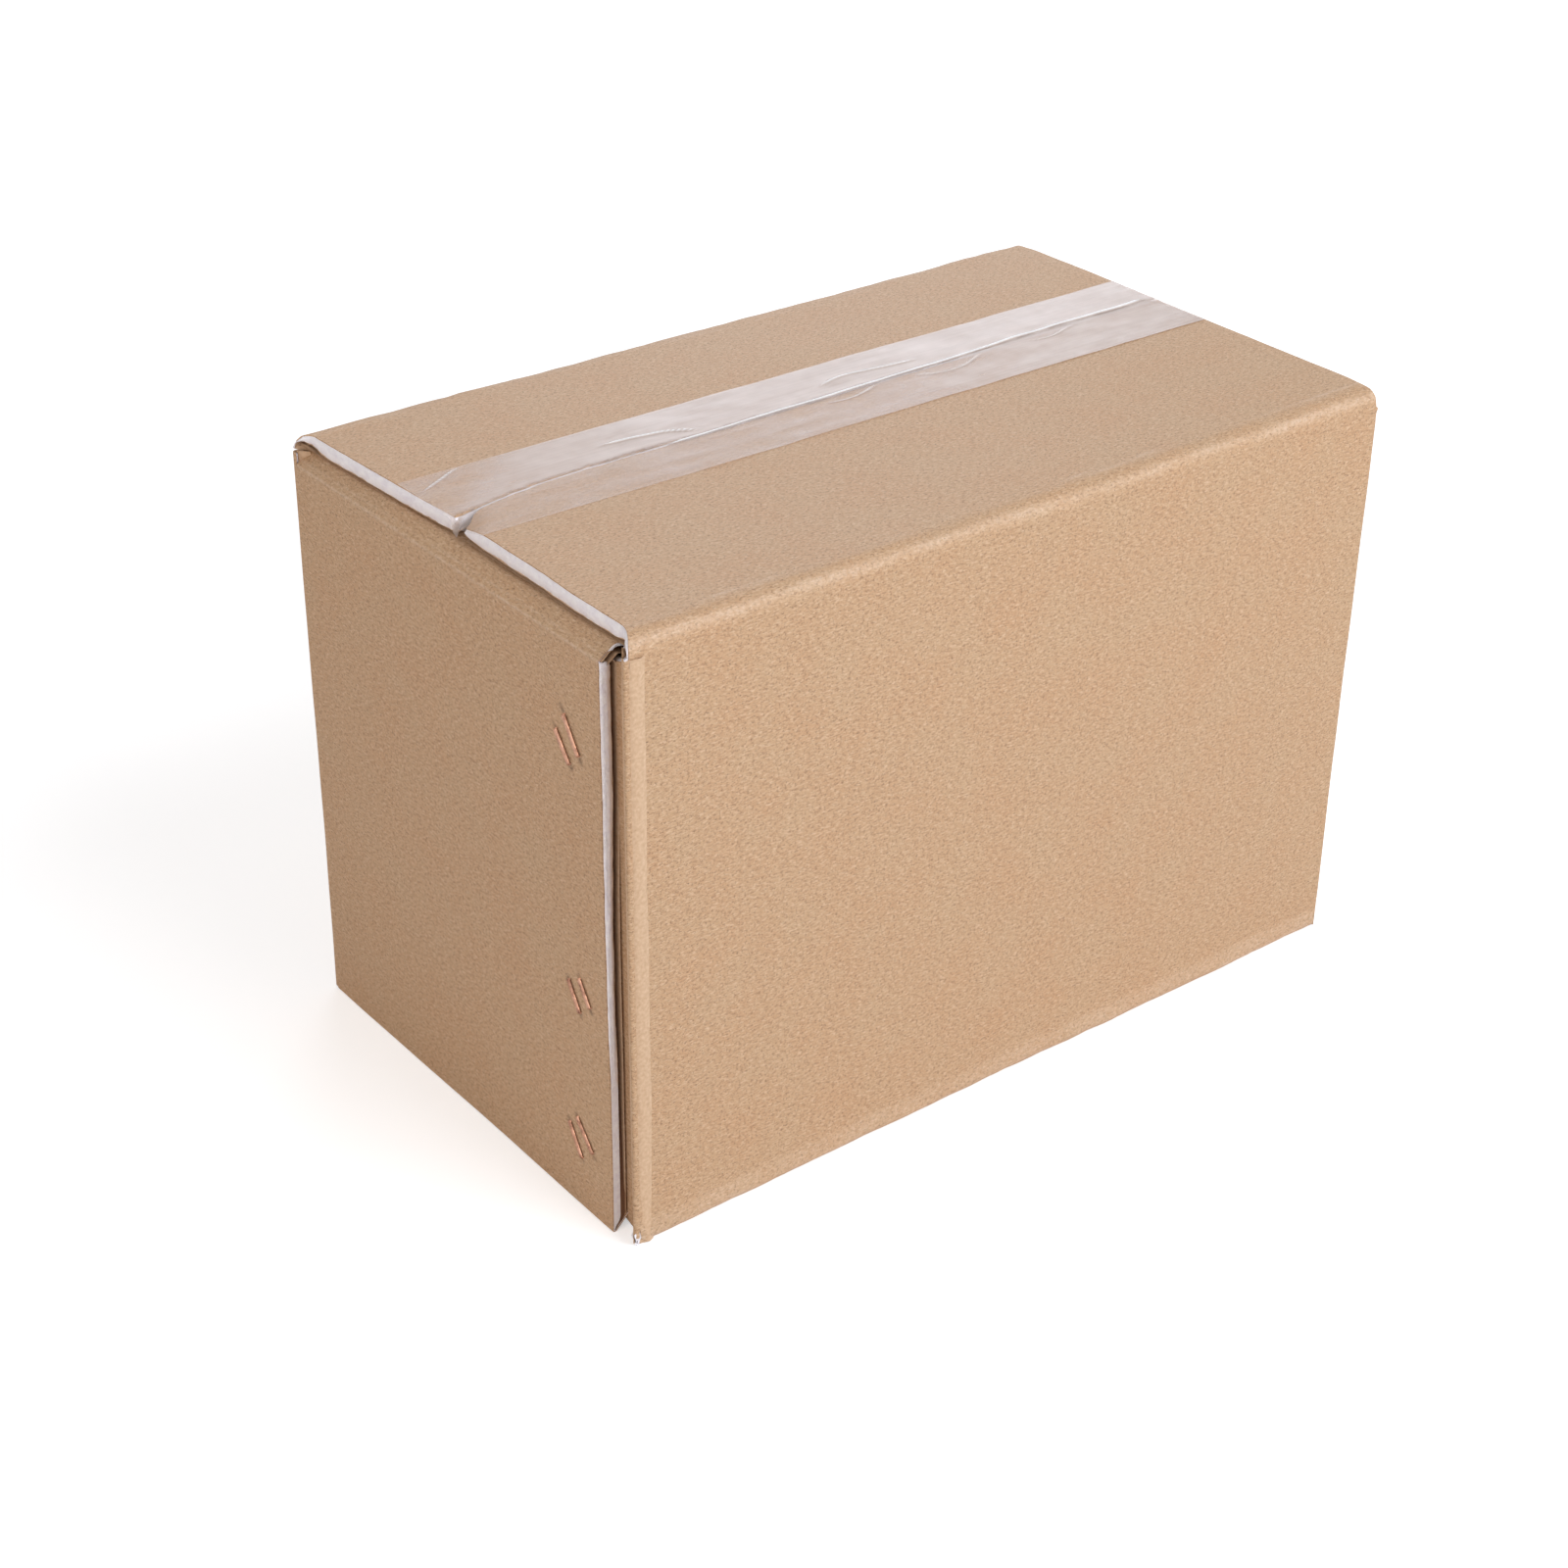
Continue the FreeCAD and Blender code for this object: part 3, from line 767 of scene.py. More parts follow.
def wearAndHighlightAt(u, v, kind):                                  # 1 on a fold, 0 on a flat, with a painted highlight beside the front corner
    height = abs(v)
    # painted highlight on the crease beside the front corner
    wearAndPaintedLight = ridge(u, frontFrom, wornAndHighlight["front"])
    if kind == major:
        crest = majorCrest + waved(u, 0, wornAndHighlight["crestStray"])
        wearAndPaintedLight = max(wearAndPaintedLight, ridge(height, crest, wornAndHighlight["crest"]) * (0.4 + waved(u, height, wornAndHighlight["crestWaves"])))
        wrinkle = flapStart + waved(u, 0, wornAndHighlight["wrinkleStray"])
        wearAndPaintedLight = max(wearAndPaintedLight, ridge(height, wrinkle, wornAndHighlight["wrinkle"]) * smooth(0.05, 0.4, wander(u, 0, 35, 6.6)))
        if v < 0:
            rubbed = ramp(height, foldStart, wornAndHighlight["rubbed"])
            wearAndPaintedLight = max(wearAndPaintedLight, rubbed * (0.9 + waved(u, v, wornAndHighlight["rubbedWaves"])))
    if kind == minor:
        score = minorStart(v)[0]
        wearAndPaintedLight = max(wearAndPaintedLight, ridge(height, score, wornAndHighlight["score"]) * (0.8 + waved(u, 0, wornAndHighlight["scoreWaves"])),
                   ridge(height, score, wornAndHighlight["slope"]) * (0.8 + waved(u, 0, wornAndHighlight["slopeWaves"])))
    return wearAndPaintedLight


def linear(hexColour):                                   # sRGB hex to the shader's linear colour
    parts = [int(hexColour[index:index + 2], 16) / 255 for index in (1, 3, 5)]
    return [part / 12.92 if part <= 0.04045 else ((part + 0.055) / 1.055) ** 2.4 for part in parts] + [1]


def addNode(material, kind, settings=None, links=None):
    node = material.node_tree.nodes.new(kind)
    for name, value in (settings or {}).items():
        if isinstance(name, str) and hasattr(node, name):
            setattr(node, name, value)
        else:
            node.inputs[name].default_value = value
    for name, source in (links or {}).items():
        material.node_tree.links.new(source, node.inputs[name])
    return node


def newMaterial(name):
    material = bpy.data.materials.new(name)
    material.use_nodes = True
    material.node_tree.nodes.clear()
    return material


def finishMaterial(material, shader):
    addNode(material, "ShaderNodeOutputMaterial", links={"Surface": shader.outputs[0]})
    return material


def tinted(material, under, hexColour, share):           # a colour laid over another by a share
    return addNode(material, "ShaderNodeMix", {"data_type": "RGBA", 7: linear(hexColour)},
                   {0: share.outputs[0], 6: under}).outputs[2]


def kraftPaper():
    # Unbleached kraft linerboard, made on a paper machine: matt brown, a felt of short fibres lying every
    # way, pale and dark ones among them, bark specks, paler where a fold has broken the surface, a painted
    # highlight on the crease beside the front corner, dark where wires tore it, and painted shade along
    # wires.
    paper = {
        "base": "#C5A27F", "warm": "#C69A74", "pale": "#DFC3A3", "deep": "#8E6A4B", "bark": "#5E432F",
        # The torn colour marks the wires' tears and the painted shade along their sides; the worn colour
        # also paints a highlight on the crease beside the front corner.
        "wornAndHighlight": "#E6CDB4", "torn": "#4A3324",
        "cloudSize": 0.021, "fibreLength": 0.0021, "fibreWidth": 0.0006,
        "grainSize": 0.0009, "speckSize": 0.0036, "crackleSize": 0.0016,
        "fibres": [(-64, "pale", 0.55), (-21, "deep", 0.4), (17, "pale", 0.55), (52, "deep", 0.4),
                   (83, "pale", 0.5)],                   # degrees, tone and strength
    }
    material = newMaterial("kraftLinerboard")
    sheetMap = addNode(material, "ShaderNodeUVMap", {"uv_map": "flat"}).outputs["UV"]
    clouds = addNode(material, "ShaderNodeTexNoise",
                     {"Scale": 1 / paper["cloudSize"], "Detail": 4.0, "Roughness": 0.6},
                     {"Vector": sheetMap}).outputs["Fac"]
    cloudy = addNode(material, "ShaderNodeMapRange",
                     {"From Min": 0.35, "From Max": 0.68, "To Max": 0.55}, {"Value": clouds})
    base = addNode(material, "ShaderNodeMix",
                   {"data_type": "RGBA", 6: linear(paper["base"]), 7: linear(paper["warm"])},
                   {0: cloudy.outputs[0]}).outputs[2]
    heights = []
    for degrees, tone, strength in paper["fibres"]:
        turned = addNode(material, "ShaderNodeMapping",
                         {"Rotation": (0, 0, math.radians(degrees)), "Location": (degrees, 0, 0),
                          "Scale": (1 / paper["fibreLength"], 1 / paper["fibreWidth"], 1)},
                         {"Vector": sheetMap})
        strand = addNode(material, "ShaderNodeTexNoise", {"Scale": 1.0, "Detail": 2.0, "Roughness": 0.65},
                         {"Vector": turned.outputs[0]}).outputs["Fac"]
        picked = addNode(material, "ShaderNodeMapRange",
                         {"From Min": 0.55, "From Max": 0.68, "To Max": strength}, {"Value": strand})
        base = tinted(material, base, paper[tone], picked)
        heights.append(strand)
    felt = heights[0]
    for strand in heights[1:]:
        felt = addNode(material, "ShaderNodeMath", {"operation": "ADD"}, {0: felt, 1: strand}).outputs[0]
    grain = addNode(material, "ShaderNodeTexNoise",
                    {"Scale": 1 / paper["grainSize"], "Detail": 3.0, "Roughness": 0.7}, {"Vector": sheetMap})
    grainTone = addNode(material, "ShaderNodeMapRange",
                        {"From Min": 0.54, "From Max": 0.66, "To Max": 0.8}, {"Value": grain.outputs["Fac"]})
    base = tinted(material, base, paper["deep"], grainTone)
    warped = addNode(material, "ShaderNodeMapping", {"Rotation": (0, 0, 0.6), "Scale": (1, 1.9, 1)},
                     {"Vector": sheetMap})
    grit = addNode(material, "ShaderNodeTexVoronoi", {"Scale": 1 / paper["speckSize"], "Randomness": 1.0},
                   {"Vector": warped.outputs[0]})
    spot = addNode(material, "ShaderNodeMapRange",
                   {"From Min": 0.05, "From Max": 0.11, "To Min": 0.85, "To Max": 0.0},
                   {"Value": grit.outputs["Distance"]})
    chance = addNode(material, "ShaderNodeSeparateColor", links={"Color": grit.outputs["Color"]})
    rare = addNode(material, "ShaderNodeMapRange", {"From Min": 0.74, "From Max": 0.92},
                   {"Value": chance.outputs["Red"]})
    speckShare = addNode(material, "ShaderNodeMath", {"operation": "MULTIPLY"},
                         {0: spot.outputs[0], 1: rare.outputs[0]})
    base = tinted(material, base, paper["bark"], speckShare)
    wearAndPaintedLight = addNode(material, "ShaderNodeAttribute", {"attribute_name": "wearAndPaintedLight"}).outputs["Fac"]
    crackle = addNode(material, "ShaderNodeTexNoise",
                      {"Scale": 1 / paper["crackleSize"], "Detail": 3.0, "Roughness": 0.65},
                      {"Vector": sheetMap})
    broken = addNode(material, "ShaderNodeMapRange",
                     {"From Min": 0.36, "From Max": 0.64, "To Min": 0.15, "To Max": 1.0},
                     {"Value": crackle.outputs["Fac"]})
    wornAndHighlightShare = addNode(material, "ShaderNodeMath", {"operation": "MULTIPLY", "use_clamp": True},
                        {0: wearAndPaintedLight, 1: broken.outputs[0]})
    base = tinted(material, base, paper["wornAndHighlight"], wornAndHighlightShare)
    # tears at the wires' ends, and painted shade along their sides
    torn = addNode(material, "ShaderNodeAttribute", {"attribute_name": "scarAndShade"}).outputs["Fac"]
    tornEdge = addNode(material, "ShaderNodeMath", {"operation": "MULTIPLY_ADD", 1: 2.2, 2: -0.6},
                       {0: crackle.outputs["Fac"]})
    tornAndShadeMask = addNode(material, "ShaderNodeMath", {"operation": "MULTIPLY", "use_clamp": True},
                       {0: torn, 1: tornEdge.outputs[0]})
    base = tinted(material, base, paper["torn"], tornAndShadeMask)
    feltBump = addNode(material, "ShaderNodeBump", {"Strength": 0.1, "Distance": 0.00012}, {"Height": felt})
    wornHeight = addNode(material, "ShaderNodeMath", {"operation": "MULTIPLY"},
                         {0: crackle.outputs["Fac"], 1: wearAndPaintedLight})
    wornBump = addNode(material, "ShaderNodeBump", {"Strength": 0.7, "Distance": 0.0006},
                       {"Height": wornHeight.outputs[0], "Normal": feltBump.outputs[0]})
    shader = addNode(material, "ShaderNodeBsdfPrincipled",
                     {"Roughness": 0.58, "Specular IOR Level": 0.34, "IOR": 1.5},
                     {"Base Color": base, "Normal": wornBump.outputs[0]})
    return finishMaterial(material, shader)


def whiteFoam():
    # Expanded polyethylene foam sheet, cut with a blade: white, closed cells broken open on the cut,
    # soft and slightly see-through.
    cut = {"base": "#FFFCFE", "shade": "#F0EAF2", "cellSize": 0.0009, "lumpSize": 0.0028}
    material = newMaterial("expandedPolyethyleneFoam")
    place = addNode(material, "ShaderNodeTexCoord").outputs["Object"]
    cells = addNode(material, "ShaderNodeTexVoronoi",
                    {"Scale": 1 / cut["cellSize"], "feature": "SMOOTH_F1", "Smoothness": 0.4},
                    {"Vector": place}).outputs["Distance"]
    lumps = addNode(material, "ShaderNodeTexNoise",
                    {"Scale": 1 / cut["lumpSize"], "Detail": 4.0, "Roughness": 0.65},
                    {"Vector": place}).outputs["Fac"]
    shade = addNode(material, "ShaderNodeMapRange",
                    {"From Min": 0.32, "From Max": 0.62, "To Min": 0.9, "To Max": 0.0}, {"Value": lumps})
    colour = addNode(material, "ShaderNodeMix",
                     {"data_type": "RGBA", 6: linear(cut["base"]), 7: linear(cut["shade"])},
                     {0: shade.outputs[0]})
    rough = addNode(material, "ShaderNodeMath", {"operation": "ADD"}, {0: cells, 1: lumps})
    bump = addNode(material, "ShaderNodeBump", {"Strength": 0.3, "Distance": 0.0004},
                   {"Height": rough.outputs[0]})
    shader = addNode(material, "ShaderNodeBsdfPrincipled",
                     {"Roughness": 0.7, "Sheen Weight": 0.25, "Sheen Roughness": 0.6},
                     {"Base Color": colour.outputs[2], "Normal": bump.outputs[0]})
    return finishMaterial(material, shader)


def corrugatedBoard():
    # Thin corrugated board of recycled paper: a pale liner, dull and dusty on the cut, over flutes painted
    # dark as shade in their channel.
    # the flute colour is painted shade for the cut-back channel
    pulp = {"liner": "#E9CCAC", "dust": "#B8906C", "fluteShade": "#6E4D35", "grainSize": 0.0011}
    material = newMaterial("corrugatedBoard")
    place = addNode(material, "ShaderNodeTexCoord").outputs["Object"]
    grain = addNode(material, "ShaderNodeTexNoise", {"Scale": 1 / pulp["grainSize"], "Detail": 4.0},
                    {"Vector": place}).outputs["Fac"]
    fluteShadeShare = addNode(material, "ShaderNodeAttribute", {"attribute_name": "wearAndPaintedLight"}).outputs["Fac"]
    dusty = addNode(material, "ShaderNodeMix",
                    {"data_type": "RGBA", 6: linear(pulp["liner"]), 7: linear(pulp["dust"])}, {0: grain})
    colour = addNode(material, "ShaderNodeMix",
                     {"data_type": "RGBA", 7: linear(pulp["fluteShade"])}, {0: fluteShadeShare, 6: dusty.outputs[2]})
    bump = addNode(material, "ShaderNodeBump", {"Strength": 0.4, "Distance": 0.0002}, {"Height": grain})
    shader = addNode(material, "ShaderNodeBsdfPrincipled", {"Roughness": 0.85},
                     {"Base Color": colour.outputs[2], "Normal": bump.outputs[0]})
    return finishMaterial(material, shader)


def clearTape():
    # Clear polypropylene packing tape, pulled off its roll by hand: glossy film that shows the paper
    # where it sticks well, milky where air lies under it and whiter as painted sheen along the strip and
    # behind the seam, a painted highlight on pleats, painted shade over the seam, fine lines along its
    # length.
    tape = {
        # crest is a painted highlight along pleats, and seam is the seam's torn edge with painted shade in
        # its gaps
        "milk": "#E6D6CD", "crest": "#FFFFFF", "seam": "#7E6350",
        "streakLength": 0.09, "streakWidth": 0.0011, "cloudLength": 0.03, "cloudWidth": 0.009,
    }
    material = newMaterial("clearPackingTape")
    place = addNode(material, "ShaderNodeTexCoord").outputs["Object"]
    stretched = addNode(material, "ShaderNodeMapping",
                        {"Scale": (1 / tape["streakLength"], 1 / tape["streakWidth"], 0)}, {"Vector": place})
    streaks = addNode(material, "ShaderNodeTexNoise", {"Scale": 1.0, "Detail": 3.0, "Roughness": 0.6},
                      {"Vector": stretched.outputs[0]}).outputs["Fac"]
    blurred = addNode(material, "ShaderNodeMapping",
                      {"Scale": (1 / tape["cloudLength"], 1 / tape["cloudWidth"], 0)}, {"Vector": place})
    clouds = addNode(material, "ShaderNodeTexNoise",
                     {"Scale": 1.0, "Detail": 4.0, "Roughness": 0.55, "Distortion": 0.6},
                     {"Vector": blurred.outputs[0]}).outputs["Fac"]
    hazeAndSheen = addNode(material, "ShaderNodeAttribute", {"attribute_name": "hazeAndSheen"}).outputs["Fac"]
    # the seam's torn edge, with painted shade in its mouth and in front of its pleat
    shown = addNode(material, "ShaderNodeAttribute", {"attribute_name": "seam"}).outputs["Fac"]
    cloudy = addNode(material, "ShaderNodeMapRange",
                     {"From Min": 0.3, "From Max": 0.7, "To Min": -0.05, "To Max": 0.05}, {"Value": clouds})
    streaked = addNode(material, "ShaderNodeMapRange",
                       {"From Min": 0.3, "From Max": 0.7, "To Min": -0.03, "To Max": 0.03},
                       {"Value": streaks})
    # milkiness from air under the film, with painted sheen and highlight
    airAndSheen = addNode(material, "ShaderNodeMath", {"operation": "ADD"}, {0: hazeAndSheen, 1: cloudy.outputs[0]})
    milkyAndSheen = addNode(material, "ShaderNodeMath", {"operation": "ADD"},
                    {0: airAndSheen.outputs[0], 1: streaked.outputs[0]})
    cover = addNode(material, "ShaderNodeMath", {"operation": "MAXIMUM", "use_clamp": True},
                    {0: milkyAndSheen.outputs[0], 1: shown})
    # painted highlight: white along the pleats' crests
    crest = addNode(material, "ShaderNodeAttribute", {"attribute_name": "crest"}).outputs["Fac"]
    drawn = addNode(material, "ShaderNodeMapRange", {"From Min": 0.15, "From Max": 0.55}, {"Value": crest})
    crestHighlighted = addNode(material, "ShaderNodeMix",
                       {"data_type": "RGBA", 6: linear(tape["milk"]), 7: linear(tape["crest"])},
                       {0: drawn.outputs[0]})
    colour = addNode(material, "ShaderNodeMix",
                     {"data_type": "RGBA", 7: linear(tape["seam"])}, {0: shown, 6: crestHighlighted.outputs[2]})
    rough = addNode(material, "ShaderNodeMath", {"operation": "ADD"}, {0: streaks, 1: clouds})
    bump = addNode(material, "ShaderNodeBump", {"Strength": 0.25, "Distance": 0.0003},
                   {"Height": rough.outputs[0]})
    shader = addNode(material, "ShaderNodeBsdfPrincipled",
                     {"Roughness": 0.3, "IOR": 1.49, "Specular IOR Level": 0.45},
                     {"Base Color": colour.outputs[2], "Alpha": cover.outputs[0], "Normal": bump.outputs[0]})
    return finishMaterial(material, shader)


def stitchingWire():
    # Copper-washed steel wire, drawn flat: bright copper tarnished brown in patches, with fine drawing lines
    # in its surface.
    wire = {"bright": "#F2BA9C", "dull": "#7A3C28", "lineWidth": 0.00035, "tarnishSize": 0.0022}
    material = newMaterial("copperWashedSteel")
    place = addNode(material, "ShaderNodeTexCoord").outputs["Object"]
    tarnish = addNode(material, "ShaderNodeTexNoise",
                      {"Scale": 1 / wire["tarnishSize"], "Detail": 4.0, "Roughness": 0.6},
                      {"Vector": place}).outputs["Fac"]
    drawn = addNode(material, "ShaderNodeTexNoise",
                    {"Scale": 1 / wire["lineWidth"], "Detail": 2.0}, {"Vector": place}).outputs["Fac"]
    dulled = addNode(material, "ShaderNodeMapRange", {"From Min": 0.48, "From Max": 0.76},
                     {"Value": tarnish})
    colour = addNode(material, "ShaderNodeMix",
                     {"data_type": "RGBA", 6: linear(wire["bright"]), 7: linear(wire["dull"])},
                     {0: dulled.outputs[0]})
    bump = addNode(material, "ShaderNodeBump", {"Strength": 0.2, "Distance": 0.0001}, {"Height": drawn})
    shader = addNode(material, "ShaderNodeBsdfPrincipled", {"Metallic": 0.85, "Roughness": 0.28},
                     {"Base Color": colour.outputs[2], "Normal": bump.outputs[0]})
    return finishMaterial(material, shader)


kraft = kraftPaper()
foam = whiteFoam()
board = corrugatedBoard()
tapeFilm = clearTape()
copperWire = stitchingWire()
print("materials made")


# Kraft face: a thin skin, cut clean. A sheet's lines are ruled so far apart, in mm.
faceSheet = {
    "columns": columnLines(4.0, 0.9),
    "rows": rowLines(4.0, 1.1, 3.6),
    "finer": 6,
    "waves": (0.12, 2.5, 3.0),
}


def cleanCut(u, v, depth):
    return waved(u + v, u - v, faceSheet["waves"])


kraftSheet = foldedSheet("kraft_face", faceSheet["columns"], faceSheet["rows"], [0, layers["kraft"]],
                         cleanCut, kraft, faceSheet["finer"])
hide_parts("kraft_face_sheet")

# Foam core: the blade leaves a ragged edge that swells out past the paper.
foamSheet = {
    "columns": columnLines(22.0, 1.8),
    "rows": rowLines(3.0, 1.4, 1.9),
    "steps": 4,
    "swell": 0.55,
    "lapSwell": 1.8,              # times as much at the free lap,
    "footSwell": 4.5,             # and where it is pressed out at the near bottom corner
    "pinched": -0.6,              # beside the near back corner
    "crumbs": (0.36, 1.4),        # ragged to a height, in lumps of a size
    "lumps": (0.24, 4.5),
}


def swollenCut(u, v, depth):
    if u > backFlapTo and minorSlot < v < foldStart + 0.5:
        return foamSheet["pinched"]
    share = (depth - layers["kraft"]) / layers["foam"]
    swell = foamSheet["swell"] * (foamSheet["lapSwell"] if u > nearTo - 2 else 1)
    if u < frontFlapFrom + 3 and v < -foldStart:
        swell *= foamSheet["footSwell"]
    out = swell * 4 * share * (1 - share)                # most at mid-depth
    for height, size in (foamSheet["crumbs"], foamSheet["lumps"]):
        out += height * noise.noise(Vector((u, v, depth)) / size)
    return out


foamLevels = [layers["kraft"] + layers["foam"] * index / foamSheet["steps"]
              for index in range(foamSheet["steps"] + 1)]
foamCore = foldedSheet("foam_core", foamSheet["columns"], foamSheet["rows"], foamLevels, swollenCut, foam)
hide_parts("foam_core_sheet")

# Corrugated backing: the flutes are cut back between the liners, so its edge shows a channel, painted dark
# as shade.
backingSheet = {
    "columns": columnLines(20.0, 1.8),
    "rows": rowLines(4.0, 1.6, 4.0),
    "outerLiner": 0.1,
    "innerLiner": 0.44,
    "lip": 0.05,                  # of the inner liner over the flutes
    "recess": 2.2,
    "linerOut": 0.3,
    "lapOut": 0.9,                # the inner liner stands out at the lap, unevenly
    "lapWaves": (0.7, 17, 5.2),
    "waves": (0.25, 3, 1.0),
}
backingTop = layers["kraft"] + layers["foam"]
flutesTo = wall - backingSheet["innerLiner"]
backingLevels = [backingTop, backingTop + backingSheet["outerLiner"],
                 flutesTo - backingSheet["lip"], flutesTo, wall]


def flutedCut(u, v, depth):
    if backingTop + backingSheet["lip"] < depth < flutesTo + backingSheet["lip"] / 2:
        return -backingSheet["recess"]
    out = backingSheet["linerOut"]
    if u > nearTo - 4 and depth > flutesTo:
        out = backingSheet["lapOut"] + waved(0, v, backingSheet["lapWaves"])
    return out + waved(u + v, u - v, backingSheet["waves"])


backing = foldedSheet("corrugated_backing", backingSheet["columns"], backingSheet["rows"], backingLevels,
                      flutedCut, board)
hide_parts("corrugated_backing_sheet")


# Top tape: stuck flat near the near end, then pleated over the seam where the flaps' edges stand up.
# A pleat is a crest line of (x, y) points, and a height; drawn pleats get a painted highlight along the
# crest.
topTape = {
    "along": 1.6,
    "across": 0.3,
    "thickness": 0.06,
    "lift": 0.12,
    "sharpEdge": 1.2,             # radians
    "seamPleat": [(-62, 10.9), (-40, 11.6), (-17, 12.2), (2, 12.0), (21, 12.6), (45, 13.2), (56, 13.4),
                  (84, 15.2), (108, 15.6), (127, 15.2), (143, 15.8)],
    "seamPleatHeight": 0.7,
    "seamPleatWaves": (0.5, 21, 3.3),
    "pleats": [
        ([(-79, 22.6), (-65, 21.3), (-54, 19.4), (-45, 14.0)], 0.5),
        ([(3, 19.0), (9, 21.5), (17, 22.8), (33, 20.4), (45, 19.2)], 0.4),
        ([(-5, 9.0), (3, 6.3), (12, 7.4), (22, 11.0)], 0.25),
        ([(34, 10.6), (45, 5.2), (54, 6.2), (66, 11.6)], 0.25),
        ([(84, 11.6), (92, 8.0), (107, 12.4)], 0.22),
        ([(-141, 24.0), (-131, 29.0), (-120, 35.0)], 0.4),
    ],
    "pleatStart": 7,              # eased in and out over this much of its length
    "pleatEnd": 5,
    "pleatFront": 0.5,            # steep in front and easy behind
    "pleatBack": 1.3,
    # the band of painted highlight along a crest
    "crest": (1, 0.1, 0.6),
    "sag": (0.25, -45, -75),      # into the seam where the film is stuck
    "rag": (0.3, -45, -70),       # over the back flap's edge there
    "mouthFront": (1, -0.5, 1.2),                        # the seam's open mouth at the near end
    "mouthBack": (1, 0.3, -1.2),
    "sunk": 0.6,
    "sunkMore": (4.4, 9, 6),
    "slack": (0.16, -110, -50),
    "slackWaves": (1, 11, 2.5),
}
filmHazeAndSheen = {                      # 0 is clear and 1 white: milkiness, partly painted sheen and highlight
    "least": 0.12,
    "most": 0.95,
    "front": [(0.12, -142, -40), (0.24, -40, 140)],      # more along the strip, partly painted sheen
    "behind": 0.2,                # and behind the seam, partly painted sheen
    "back": [(0.1, -142, -40), (-0.16, -40, 140)],
    "clearBand": (0.05, -11, -6),
    "clearBandFrom": (1, -70, -30),
    "clearEnd": (0.18, 6, -6),    # across a slanting line
    "clearPlace": Vector((-137, 8)),
    "clearWay": Vector((0.5, -0.6)),
    "clouds": (0.08, 9, 7.0),
    "specks": (0.05, 4, 1.7),
    # painted highlight on the crests, as whiter film
    "crestHighlight": 0.9,
}
seamAndShade = {                     # the seam's torn back edge under the film, painted shade in its open mouth, and a painted shadow in front of its pleat
    "most": 0.85,
    # painted shade in the seam's open mouth
    "mouthShade": 0.75,
    "dashes": (0.7, 0.05, 0.35),  # the back flap's torn edge where the film is stuck, partly a painted shadow
    "dashBand": (1, -0.2, 0.8),
    "dashFrom": (1, -143, -138),
    "dashTo": (1, -44, -66),
    "shadow": (0.6, -0.95, 0.6),  # a painted shadow in front of the seam's pleat
    "shadowWaves": (-0.2, 13, 4.0),
    "shadowBreaks": (-0.35, 0.25),
}


def crestAt(points, x):
    # A crest line's place at x, rounded at its points, or nothing past its ends.
    if not points[0][0] < x < points[-1][0]:
        return None
    total = 0
    for shift in (-3, 0, 3):
        place = min(max(x + shift, points[0][0]), points[-1][0])
        start, end = next(pair for pair in zip(points, points[1:]) if place <= pair[1][0])
        total += start[1] + (end[1] - start[1]) * (place - start[0]) / (end[0] - start[0])
    return total / 3


def pleatAt(points, x, y, height):
    # Height of a leaning pleat and how near its crest a place is, for the painted highlight there.
    crest = crestAt(points, x)
    if crest is None:
        return 0, 0
    faded = smooth(0, topTape["pleatStart"], x - points[0][0])
    faded *= smooth(0, topTape["pleatEnd"], points[-1][0] - x)
    shape = bell(y, crest, topTape["pleatFront"] if y < crest else topTape["pleatBack"])
    return height * faded * shape, faded * ridge(y, crest, topTape["crest"])


def pleatsAt(x, y):
    # The same for all the film's pleats together.
    height, crestHighlight = pleatAt(topTape["seamPleat"], x, y, topTape["seamPleatHeight"])
    height *= 0.8 + waved(x, 0, topTape["seamPleatWaves"])
    for points, high in topTape["pleats"]:
        more, near = pleatAt(points, x, y, high)
        height = max(height, more)
        crestHighlight = max(crestHighlight, 0.9 * near * min(high / 0.6, 1))
    return height, crestHighlight


def flapSkin(x, y, side):
    # The flaps' skin over a place on the upper or lower side, in mm above its nominal level.
    front, back = seamEdges(x) if side > 0 else (0, 0)
    ease = 0.5 if side > 0 else 1
    onFront = relief(frontFrom + x - frontStart, side * (flapMiddle + min(y, front)), major)
    onBack = relief(backFrom + backStart - x, side * (flapMiddle - max(y, back)), major)
    return onFront + (onBack - onFront) * smooth(front - ease, back + ease, y)


def mouthAt(x, y):                                       # 1 in the seam's open mouth
    front, back = seamEdges(x)
    across = ramp(y, front, topTape["mouthFront"]) * ramp(y, back, topTape["mouthBack"])
    return across * smooth(2 * topSeam["mouthCorner"], -topSeam["mouthCorner"], fromNearEdge(x))


